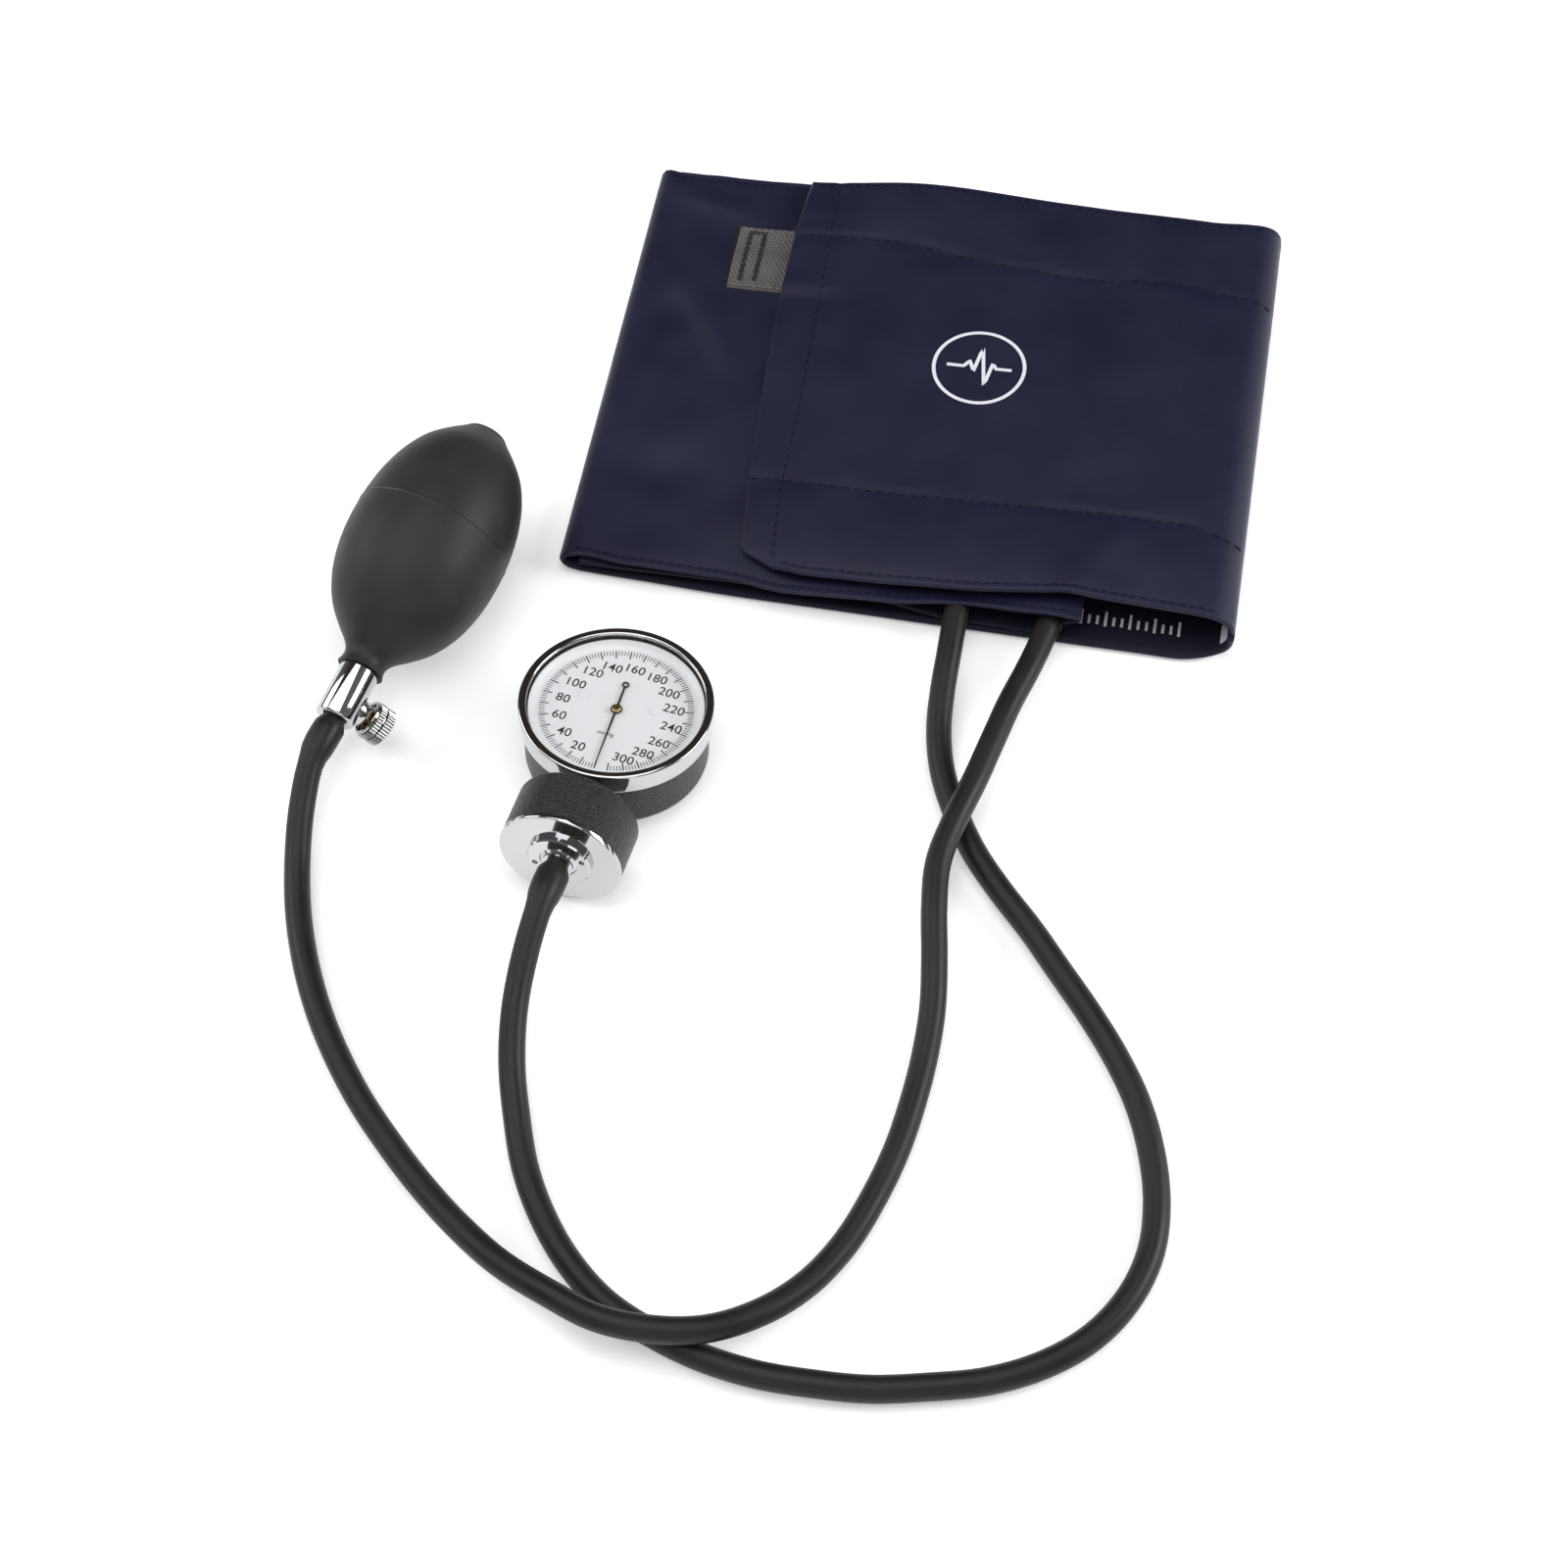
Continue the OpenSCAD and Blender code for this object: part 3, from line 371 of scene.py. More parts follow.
def curve_through(points, step):
    """A smooth line through points, resampled at about step apart. Extra numbers ride along."""
    points = np.array(points, float)
    apart = np.linalg.norm(np.diff(points[:, :3], axis=0), axis=1) > 1e-6
    points = points[np.concatenate([[True], apart])]
    knots = np.concatenate([[0], np.cumsum(np.linalg.norm(np.diff(points[:, :3], axis=0), axis=1))])
    fine = np.linspace(0, knots[-1], max(2, int(knots[-1] / (step * 0.25))))
    dense = smooth_values(knots, points, fine)
    run = np.concatenate([[0], np.cumsum(np.linalg.norm(np.diff(dense[:, :3], axis=0), axis=1))])
    even = np.linspace(0, run[-1], max(2, int(round(run[-1] / step)) + 1))
    return np.stack([np.interp(even, run, dense[:, i]) for i in range(dense.shape[1])], axis=1), even


def unit(vector):
    return vector / np.linalg.norm(vector)


def rod(spots, sideways, rises, radii, sides):
    """Points and faces of a round rod with flat ends. Each ring spans a sideways and a rising direction."""
    turns = [2 * math.pi * k / sides for k in range(sides)]
    points = [
        spot + radius * (math.cos(a) * side_way + math.sin(a) * rise)
        for spot, side_way, rise, radius in zip(spots, sideways, rises, radii)
        for a in turns
    ]
    last = (len(spots) - 1) * sides
    faces = [
        (i + k, i + (k + 1) % sides, i + sides + (k + 1) % sides, i + sides + k)
        for i in range(0, last, sides)
        for k in range(sides)
    ]
    faces += [tuple(reversed(range(sides))), tuple(range(last, last + sides))]
    return points, faces


def tube(name, path, radii, materials):
    """A round tube along path with one radius a point and closed ends."""
    path = np.array(path, float)
    tangents = np.gradient(path, axis=0)
    tangents /= np.linalg.norm(tangents, axis=1)[:, None]
    sideways = [unit(np.cross(along, (0, 0, 1))) for along in tangents]
    rises = [np.cross(side_way, along) for side_way, along in zip(sideways, tangents)]
    return mesh_object(name, *rod(path, sideways, rises, radii, HOSE_SIDES), materials)


def slab_faces(rows, cols):
    """Faces of a thin slab: a grid, the same grid below it and a rim. Also marks the faces below."""
    count = rows * cols
    faces, below = [], []
    for i in range(rows - 1):
        for j in range(cols - 1):
            a, b, c, d = i * cols + j, i * cols + j + 1, (i + 1) * cols + j + 1, (i + 1) * cols + j
            faces += [(a, b, c, d), (d + count, c + count, b + count, a + count)]
            below += [0, 1]
    rim = list(range(cols)) + [i * cols + cols - 1 for i in range(1, rows)]
    rim += [(rows - 1) * cols + j for j in range(cols - 2, -1, -1)]
    rim += [i * cols for i in range(rows - 2, 0, -1)]
    for a, b in zip(rim, rim[1:] + rim[:1]):
        faces.append((b, a, a + count, b + count))
        below.append(0)
    return faces, below


def join_meshes(name, parts, materials):
    """One object out of (points, faces) lists, in millimetres."""
    points, faces = [], []
    for part_points, part_faces in parts:
        base = len(points)
        points += list(part_points)
        faces += [tuple(i + base for i in face) for face in part_faces]
    return mesh_object(name, points, faces, materials)


# ---------- Hoses ----------

GAUGE_ROUTE = [
    (48, -8, 8), (48, -18, 8), (48, -30, 7.4), (48, -42, 6), (48.8, -54, 4.4), (51.8, -67, 3.6),
    (57, -79, 3.6), (64, -91, 3.6), (72, -101, 3.6), (82, -112, 3.6), (91, -123, 3.6),
    (100, -134, 3.6), (108, -145, 3.6), (115, -157, 3.6), (120, -170, 3.6), (123, -184, 3.6),
    (123, -198, 3.6), (119, -211, 3.6), (111, -223, 3.6), (100, -232, 3.6), (88, -238, 3.6),
    (74, -242, 3.6), (60, -245, 3.6), (46, -246, 3.6), (33, -246, 3.6), (19, -244, 3.6),
    (6, -240, 3.6), (-7, -234, 3.6), (-18, -225, 3.6), (-27, -214, 3.6), (-34, -202, 3.8),
    (-39, -189, 4.8), (-43, -176, 7), (-45, -163, 11), (-45, -149, 15.8),
]
BULB_ROUTE = [
    (74, -8, 8), (74, -15, 8), (72.4, -24, 8.3), (70, -34, 8.9), (67, -45, 9.6), (64, -59, 10.4),
    (61, -73, 10.9), (57.4, -87, 10.9), (55.2, -100, 10.9), (56.2, -114, 10.4), (58.3, -127, 8.6),
    (60, -141, 5.8), (60, -154, 4), (59, -167, 3.6), (57, -181, 3.6), (53.4, -195, 3.6),
    (48.2, -209, 3.8), (40.6, -221.8, 5), (30.6, -232.2, 7.6), (18.8, -239.5, 10.3), (6, -242, 11),
    (-7, -241.4, 11), (-20, -237, 10.8), (-33, -231, 9.2), (-46, -222, 6.6), (-58, -212, 4.6),
    (-68.3, -202.3, 3.7), (-78.7, -191.6, 3.6), (-88.2, -179.8, 3.6), (-96.2, -167.8, 3.6),
    (-103.2, -154.5, 3.6), (-108.9, -140.3, 3.8), (-113, -125, 5.2), (-115, -110.9, 9),
]
HOSE_D = 7.0
HOSE_SIDES = 24


def joint_frame(origin, x, y, z):
    """A matrix in millimetres whose columns are the given directions."""
    matrix = Matrix.Identity(4)
    for column, axis in enumerate((x, y, z)):
        matrix.col[column].xyz = axis
    matrix.translation = origin
    return matrix


def joint_axis(name):
    return Vector(joints[name]["axis"]).normalized()


def joint_place(name):
    return Vector(joints[name]["pos_m"]) / MM


POINTER_Z = 18.7
STEM_Z = 11.0
up = -joint_axis("pointer_turn")
back = joint_axis("push_rod_slide")
gauge = joint_frame(joint_place("pointer_turn") - POINTER_Z * up, back.cross(up), back, up)
stem = gauge @ Matrix.Translation((0, 0, STEM_Z)) @ Matrix.Rotation(math.radians(90), 4, "X")
KNOB_IN = 8.0
KNOB_Y = 10.0
tip = joint_axis("inlet_ball_slide")
knob_axis = joint_axis("thumb_screw_turn")
knob_foot = joint_place("thumb_screw_turn") - KNOB_IN * knob_axis
side = tip.cross(Vector((0, 0, 1))).normalized()
bulb = joint_frame(knob_foot + KNOB_Y * tip, side, tip.cross(side), tip)
knob_side = knob_axis.cross(tip).normalized()
knob = joint_frame(knob_foot, knob_side, knob_axis.cross(knob_side), knob_axis)

def hose(name, route, ends, node):
    path, run = curve_through(list(route) + [tuple(e) for e in ends], 2.5)
    left = run[-1] - run
    swell = np.exp(-((left - 5.5) / 6.5) ** 4) * 0.95
    radii = HOSE_D / 2 + swell * np.clip(left / 1.2 + 0.35, 0, 1)
    radii[-1] -= 0.5
    piece = tube(name, path, radii, hose_rubber)
    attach(piece, "set")
    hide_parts(node)
    return path


gauge_hose_end = [stem @ Vector((0, 0, d)) for d in (62.0, 49.5)]
bulb_hose_end = [bulb @ Vector((0, 0, d)) for d in (-29.0, -16.0)]
hose("gauge_hose_rubber", GAUGE_ROUTE, gauge_hose_end, "gauge_hose")
hose("bulb_hose_rubber", BULB_ROUTE, bulb_hose_end, "bulb_hose")


# ---------- Cuff ----------

CUFF_FRONT = -16.0
CUFF_BACK = 136.0


def smooth(x, low, high):
    t = min(1.0, max(0.0, (x - low) / (high - low)))
    return t * t * (3 - 2 * t)


def bell(distance, width):
    return math.exp(-((distance / width) ** 2))


def soft_noise(x, y, scale, seed):
    return noise.noise(Vector((x / scale + seed * 7.3, y / scale - seed * 3.1, seed * 1.7)))


def edge_steps(low, high, step, fine=(0.12, 0.35, 0.7, 1.2, 2.0, 3.0)):
    """Grid lines from low to high, close together at both ends."""
    inner = np.linspace(low + 4.2, high - 4.2, int((high - low - 8.4) / step) + 1)
    return np.concatenate([[low], low + np.array(fine), inner, (high - np.array(fine))[::-1], [high]])


class Sheet:
    """A cloth sheet with thickness. Its cross-section runs along s, and v runs along Y."""

    def __init__(self, section, lift, front, rear, ends, turn):
        self.line, self.run = curve_through([(x, 0, z, h) for x, z, h in section], 1.5)
        self.length = float(self.run[-1])
        self.lift, self.front, self.rear, self.ends, self.turn = lift, front, rear, ends, turn

    def raw(self, s, v):
        """Middle of the cloth before its edges are rounded."""
        x = np.interp(s, self.run, self.line[:, 0])
        z = np.interp(s, self.run, self.line[:, 2])
        before, after = (
            np.array([np.interp(place, self.run, self.line[:, axis]) for axis in (0, 2)])
            for place in (s - 0.7, s + 0.7)
        )
        along = unit(after - before)
        lift = self.lift(s, v, x)
        y = v + self.front(s, x) * smooth(-v, -40, 16) + self.rear(s, x) * smooth(v, 100, 136)
        return np.array([x + along[1] * lift * -self.turn, y, z + along[0] * lift * self.turn])

    def half(self, s, v):
        thick = float(np.interp(s, self.run, self.line[:, 3]))
        edge = [v - CUFF_FRONT, CUFF_BACK - v]
        if self.ends[0]:
            edge.append(s)
        if self.ends[1]:
            edge.append(self.length - s)
        d = max(0.0, min(edge))
        ratio = min(1.0, d / (thick * 1.1))
        return thick * math.sqrt(max(0.0, 1 - (1 - ratio) ** 2)) + 0.01

    def frame(self, s, v):
        e = 0.4
        p = self.raw(s, v)
        ds = self.raw(min(s + e, self.length), v) - self.raw(max(s - e, 0), v)
        dv = self.raw(s, min(v + e, CUFF_BACK)) - self.raw(s, max(v - e, CUFF_FRONT))
        return p, unit(np.cross(ds, dv))

    def on(self, s, v, offset):
        """A point offset from the cloth's face; a negative offset is on the other face."""
        p, n = self.frame(s, v)
        h = self.half(s, v)
        return p + n * (math.copysign(h, offset) + offset)

    def build(self, name, materials, step=1.6, v_step=1.7, shape=None):
        ss = edge_steps(0, self.length, step)
        vs = edge_steps(CUFF_FRONT, CUFF_BACK, v_step)
        tops, unders, uv = [], [], []
        for s in ss:
            for v in vs:
                s1, v1 = shape(s, v) if shape else (s, v)
                p, n = self.frame(s1, v1)
                h = self.half(s, v)
                tops.append(p + n * h)
                unders.append(p - n * h)
                uv.append((s1 * MM, v1 * MM))
        faces, below = slab_faces(len(ss), len(vs))
        return mesh_object(name, tops + unders, faces, materials, below, uv=uv + uv, sharp=50)


def pucker(distance, along, depth, width, pitch=6.5, seed=1):
    """A stitched line's dip, with small gathers along it."""
    ripple = 0.75 + 0.25 * math.sin(2 * math.pi * along / pitch + 2.5 * soft_noise(along, seed * 9, 18, seed))
    return -depth * ripple * bell(distance, width)


# Flap: from the middle of the right fold, over the top, to its free edge at the left
FLAP_SECTION = [
    (124.2, 9.3, 1.0), (123.9, 11.5, 1.0), (122.5, 13.8, 1.0), (119.8, 15.4, 1.0), (115, 16.5, 1.0),
    (108, 17.1, 1.0), (98, 17.3, 1.0), (77, 16.8, 1.0), (45, 15.5, 1.0), (20, 14.4, 1.0), (2, 13.2, 1.0),
    (-9, 11.9, 1.0), (-15, 11.1, 1.0), (-20.3, 10.7, 0.9),
]


def hem_line(v):
    """Where the stitches of the flap's free edge run."""
    return float(np.interp(v, (-16, -10, 17, 45, 131), (-4.0, -5.3, -7.2, -7.0, -9.2)))


def low_seam(x):
    return 16.2 - 0.7 * smooth(x, -16, 40) + 0.3 * smooth(x, 60, 95) - 3.8 * smooth(x, 106, 126)


def high_seam(x):
    fall = 4.6 * smooth(x, 6, 44) + 2.2 * smooth(x, 40, 70) + smooth(x, 90, 112) + 1.5 * smooth(x, 110, 126)
    return 111.3 - fall + 1.6 * smooth(x, 74, 86)


def flap_lift(s, v, x):
    lo, hi = low_seam(x), high_seam(x)
    flat = smooth(s, 8, 26)
    lift = 0.0
    if lo < v < hi:
        t = (v - lo) / (hi - lo)
        lift += 0.7 * math.sin(math.pi * t) * flat
    elif v <= lo:
        t = (v - CUFF_FRONT) / (lo - CUFF_FRONT)
        lift += (0.9 * math.sin(math.pi * t) + 0.5 * soft_noise(x, 3, 34, 5) * math.sin(math.pi * t)) * flat
        lift += 0.9 * soft_noise(x, 0, 42, 8) * (1 - t) ** 2 * flat
    else:
        t = (CUFF_BACK - v) / (CUFF_BACK - hi)
        lift += (0.9 * math.sin(math.pi * t) + 0.5 * soft_noise(x, 9, 40, 6) * math.sin(math.pi * t)) * flat
    lift += pucker(v - lo, x, 0.5, 0.9, 4.5, seed=2) * smooth(s, 4, 14)
    lift += pucker(v - hi, x, 0.5, 0.9, 4.5, seed=3) * smooth(s, 4, 14)
    lift += pucker(x - hem_line(v), v, 0.45, 0.9, 4.5, seed=4)
    near_seams = bell(v - lo, 7) + bell(v - hi, 7)
    lift += 0.35 * soft_noise(x * 0.4, v, 6.5, 14) * near_seams
    lift += pucker(v - CUFF_FRONT - 2.2, x, 0.28, 0.8, 5, 5) + pucker(CUFF_BACK - 2.2 - v, x, 0.28, 0.8, 5, 6)
    lift += 0.8 * soft_noise(x, v, 44, 11) * flat + 0.32 * soft_noise(x, v, 16, 12) * flat
    tab = smooth(v, 86, 91) * smooth(-v, -118, -113) * smooth(-x, -7, 12)
    lift += 0.9 * tab
    lift += 0.8 * bell(x - 83 + (v - 106) * 0.12, 5) * smooth(v, 102, 114) * smooth(-v, -135, -122)
    lift += 0.9 * bell(x - 84 - (v + 4) * 0.5, 5) * smooth(-v, -15, -5)
    lift -= 2.8 * smooth(v, 80, 136) * smooth(x, 0, 80) * flat
    return lift


def flap_front(s, x):
    straight = 0.6 + 0.7 * smooth(x, 10, 45) + 2.2 * smooth(x, 45, 78) + 0.5 * soft_noise(x, 1, 26, 21)
    return straight + 1.8 * (1 - smooth(x, -8, 6))


def flap_rear(s, x):
    right = smooth(x, 50, 90) * (1 - smooth(x, 116, 124))
    return -2.2 * smooth(-x, -20, 20) - 0.9 * right + 0.4 * soft_noise(x, 2, 38, 22)


flap = Sheet(FLAP_SECTION, flap_lift, flap_front, flap_rear, (False, True), -1)
FLAP_OUT = -1  # the flap's normals point inwards, at the inner panel


def flap_corner(s, v):
    """Gives the free edge its lean and its slanting front corner."""
    reach = 50
    back_off = float(np.interp(v, (-16, -11.3, 23, 52, 86, 113, 136), (15.2, 5.9, 2.7, 1.3, 0.1, 0.4, 1.9)))
    near = max(0.0, s - (flap.length - reach))
    return s - back_off * near / reach, v


# Base: from the middle of the right fold, along the bottom, round the left fold and over the inner panel
BASE_SECTION = [
    (124.2, 9.3, 1.0), (124.1, 7.0, 1.0), (123.0, 4.3, 1.05), (120.2, 2.4, 1.15), (114, 1.55, 1.3),
    (100, 1.4, 1.35), (50, 1.4, 1.35), (0, 1.4, 1.35), (-40, 1.4, 1.35), (-56, 1.45, 1.3),
    (-61.3, 1.75, 1.15), (-64.1, 2.9, 0.95), (-65.0, 4.5, 0.8), (-64.1, 6.1, 0.7), (-61.3, 7.0, 0.6),
    (-56, 7.3, 0.6), (-40, 8.0, 0.6), (-15, 9.1, 0.6), (15, 10.45, 0.6), (45, 11.75, 0.6),
    (68, 12.75, 0.6), (77, 13.0, 0.6), (82.5, 12.8, 0.55),
]


def base_lift(s, v, x):
    """Positive is outwards: down on the bottom panel and up on the inner panel."""
    top = smooth(s, TOP_START, TOP_START + 14)
    lift = 0.0
    ends = math.sin(math.pi * min(1, max(0, (v - CUFF_FRONT) / (CUFF_BACK - CUFF_FRONT))))
    right = 1 - smooth(x, 60, 80)
    lift += top * right * (0.9 * ends ** 0.7 - 0.2)
    bare = 1 - smooth(x, -42, -24)
    wrinkles = 1.3 * soft_noise(x, v, 34, 31) + 0.55 * soft_noise(x, v, 14, 32)
    lift += top * wrinkles * right * (1 + 0.7 * bare)
    lift -= top * 1.6 * smooth(v, 80, 136) * smooth(x, 5, 55)
    ridge = (x + 30) * 0.82 + (v - 62) * 0.57
    lift += top * 1.9 * bell(ridge, 5) * smooth(v, 15, 50) * smooth(-v, -108, -70) * bare
    ridge = (v - 122) * 0.97 + (x + 40) * 0.25
    lift += top * 0.9 * bell(ridge, 3.5) * bare
    ridge = (x + 52) * 0.96 - (v - 40) * 0.26
    lift -= top * 0.8 * bell(ridge, 5) * smooth(-v, -90, -40)
    lift += top * pucker(v - CUFF_FRONT - 2.2, x, 0.25, 0.8, 5, 7)
    lift += top * pucker(CUFF_BACK - 2.2 - v, x, 0.25, 0.8, 5, 8)
    wave = smooth(-v, -2, 16)
    lift += top * wave * 1.0 * soft_noise(x, 4, 26, 33)
    lift -= (1 - top) * 0.25 * pucker(v - CUFF_FRONT - 2.2, x, 0.3, 0.8, 5, 9)
    return lift


def base_front(s, x):
    """How far the front hem strays: on the bottom panel, then on the inner panel."""
    top = smooth(s, TOP_START - 4, TOP_START + 14)
    low = 1.2 * smooth(-x, 20, 64) - 1.0 + 2.6 * smooth(x, 106, 123) ** 2 + 0.4 * soft_noise(x, 7, 33, 41)
    high = 2.0 - 2.4 * smooth(x, -64, -44) - 2.6 * smooth(x, -20, 0)
    high += 2.6 * smooth(x, 15, 55) - 0.7 * smooth(x, 60, 80)
    return low + (high - low) * top + 0.35 * soft_noise(x, 3, 17, 43) * top


def base_rear(s, x):
    return -2.0 * smooth(-x, 10, 60) * smooth(s, TOP_START, TOP_START + 10) + 0.4 * soft_noise(x, 5, 40, 42)


base = Sheet(BASE_SECTION, base_lift, base_front, base_rear, (False, True), 1)
TOP_START = float(base.run[int(np.argmin(base.line[:, 0]))])  # where the left fold turns back over the top

# Lower ply of the inner panel: sewn to the upper one except where the hoses leave
PLY_SECTION = [
    (-60, 4.6, 0.5), (-50, 4.2, 0.5), (-20, 3.9, 0.5), (20, 3.85, 0.5), (60, 3.85, 0.5), (74, 4.3, 0.5),
    (79.5, 7.0, 0.5), (81.3, 10.0, 0.5), (82.0, 12.0, 0.45),
]
MOUTH_X0, MOUTH_X1 = 22.0, 80.0


def ply_lift(s, v, x):
    front = smooth(-v, -1, 15)
    rear = smooth(v, 118, 135)
    mouth = smooth(x, MOUTH_X0, MOUTH_X0 + 26) * (1 - smooth(x, MOUTH_X1 - 3, MOUTH_X1))
    top = float(np.interp(x, (-60, 82), (6.7, 12.4)))
    z = float(np.interp(s, ply.run, ply.line[:, 2]))
    rise = max(front * (1 - mouth), rear)
    return (top - 1.25 - 1.7 * rear * smooth(x, 5, 55) - z) * rise * 0.86 + 0.25 * soft_noise(x, v, 22, 51)


def ply_hem(side_way):
    """The lower ply's hems lie half a millimetre past the cuff's."""
    return lambda s, x: 0.5 * side_way


ply = Sheet(PLY_SECTION, ply_lift, ply_hem(-1), ply_hem(1), (True, True), 1)

flap_cloth = flap.build("cuff_flap_cloth", [navy_inside, navy], shape=flap_corner)
base_cloth = base.build("cuff_base_cloth", [navy, navy_inside])
ply_cloth = ply.build("cuff_pocket_cloth", [navy_inside, navy_inside], step=2.0, v_step=2.2)

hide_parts("cuff_flap")
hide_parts("cuff_bottom_panel", "cuff_left_fold", "cuff_side_panel")
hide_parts("cuff_inner_panel", "bladder", "gauge_port", "bulb_port")


def bend_with_base(piece):
    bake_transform(piece)


def bend_with_flap(piece):
    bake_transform(piece)


THREAD_RINGS = 6
YARN_SIDES = 6
SEAM = {"pitch": 3.3, "dash": 2.3, "radius": 0.25}
HEM = {"pitch": 2.7, "dash": 1.8, "radius": 0.2}
HEM_IN = 2.2  # from a hem's edge to its stitches


def stitches(name, sheet, spots, outward, pitch, dash, radius):
    """Dashes of thread along spots, (s, v) pairs on a sheet, slightly sunk in its face."""
    line, run = curve_through([(s, v, 0) for s, v in spots], 0.8)
    parts = []
    for start in np.arange(0.6, run[-1] - dash, pitch):
        centres, normals, radii = [], [], []
        for k in range(THREAD_RINGS + 1):
            d = start + dash * k / THREAD_RINGS
            s, v = np.interp(d, run, line[:, 0]), np.interp(d, run, line[:, 1])
            p, n = sheet.frame(s, v)
            centres.append(p + n * outward * (sheet.half(s, v) + 0.04))
            normals.append(n * outward)
            radii.append(radius * math.sqrt(max(0.02, 1 - (2 * k / THREAD_RINGS - 1) ** 4)))
        alongs = [unit(b - a) for a, b in zip(centres[:1] + centres[:-1], centres[1:] + centres[-1:])]
        sideways = [unit(np.cross(along, n)) for along, n in zip(alongs, normals)]
        parts.append(rod(centres, sideways, normals, radii, YARN_SIDES))
    return join_meshes(name, parts, thread_navy)


def flap_s(x):
    """Arc length on the flap's top at a given x."""
    keep = flap.run > 8
    return float(np.interp(-x, -flap.line[keep, 0], flap.run[keep]))


SEAM_XS = np.linspace(119, -19, 40)
FOLD_RUN = np.linspace(3.5, flap_s(SEAM_XS[0]), 6)[:-1]
FOLD_XS = np.interp(FOLD_RUN, flap.run, flap.line[:, 0])


def flap_seam(line):
    """A seam from the right fold to the flap's free edge."""
    return [(s, line(x)) for s, x in zip(FOLD_RUN, FOLD_XS)] + [(flap_s(x), line(x)) for x in SEAM_XS]


def hem(place_of, x0, x1, v):
    """A straight row of stitches beside a hem."""
    return [(place_of(x), v) for x in np.linspace(x0, x1, 30)]


free_edge = [(flap_s(hem_line(v)), v) for v in np.linspace(-13, 134, 30)]
flap_seams = [
    stitches("flap_low_seam_stitches", flap, flap_seam(low_seam), FLAP_OUT, **SEAM),
    stitches("flap_high_seam_stitches", flap, flap_seam(high_seam), FLAP_OUT, **SEAM),
    stitches("flap_hem_stitches", flap, free_edge, FLAP_OUT, **SEAM),
    stitches("flap_front_stitches", flap, hem(flap_s, 121, -4, CUFF_FRONT + HEM_IN), FLAP_OUT, **HEM),
    stitches("flap_back_stitches", flap, hem(flap_s, 121, -16, CUFF_BACK - HEM_IN), FLAP_OUT, **HEM),
]


def base_s(x):
    """Arc length on the inner panel at a given x."""
    keep = base.run > TOP_START + 3
    return float(np.interp(x, base.line[keep, 0], base.run[keep]))


def bottom_s(x):
    """Arc length on the bottom panel at a given x."""
    keep = (base.run < TOP_START - 6) & (base.run > 8)
    return float(np.interp(-x, -base.line[keep, 0], base.run[keep]))


base_seams = [
    stitches("inner_front_stitches", base, hem(base_s, -62, 80, CUFF_FRONT + HEM_IN), 1, **HEM),
    stitches("inner_back_stitches", base, hem(base_s, -62, 80, CUFF_BACK - HEM_IN), 1, **HEM),
    stitches("bottom_front_stitches", base, hem(bottom_s, 112, -52, CUFF_FRONT + 2.6), 1, **HEM),
    stitches("bottom_back_stitches", base, hem(bottom_s, 112, -52, CUFF_BACK - 2.6), 1, **HEM),
]


def patch(name, sheet, s_range, v_range, thick, material, node, bumps=None, counts=(60, 60)):
    """A flat strip sewn on the face that a sheet's normals leave, with rounded edges."""
    ss = np.linspace(*s_range, counts[0])
    vs = np.linspace(*v_range, counts[1])
    tops, unders, uv = [], [], []
    for s in ss:
        for v in vs:
            p, n = sheet.frame(s, v)
            face = p + n * sheet.half(s, v)
            d = min(s - s_range[0], s_range[1] - s, v - v_range[0], v_range[1] - v)
            full = thick + (bumps(s, v) if bumps else 0)
            h = full * math.sqrt(max(0, 1 - (1 - min(1, d / 0.6)) ** 2)) + 0.02
            tops.append(face + n * h)
            unders.append(face - n * 0.05)
            uv.append((s * MM, v * MM))
    faces, _ = slab_faces(*counts)
    piece = mesh_object(name, tops + unders, faces, material, uv=uv + uv, sharp=60)
    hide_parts(node)
    return piece


hook_reach = (flap_s(112), flap_s(-7))
hook = patch("hook_strip", flap, hook_reach, (17, 105), 0.6, hook_tape, "hook_patch")
loop_reach = (base_s(10), base_s(75))
loop = patch("loop_strip", base, loop_reach, (15, 111), 0.5, loop_tape, "loop_patch")

TAB_V = (89.5, 114.5)


def webbing_relief(s, v):
    """Slanting ribs of a coarse twill band, with fat cords round its two edges."""
    edge = min(v - TAB_V[0], TAB_V[1] - v)
    if edge < 1.7:
        return 0.55 * abs(math.sin(math.pi * s / 2.1)) ** 0.6 * math.sin(math.pi * min(1, edge / 1.7)) ** 0.4
    rib = math.sin(math.pi * (s * 0.83 + v * 0.55) / 1.25)
    cut = math.sin(math.pi * v / 1.3)
    return 0.7 * abs(rib) ** 0.8 * (0.35 + 0.65 * abs(cut) ** 0.5)


tab_reach = (base_s(-37.2), base_s(4))
tab = patch("webbing_band", base, tab_reach, TAB_V, 0.7, webbing, "webbing_tab",
            webbing_relief, (170, 120))


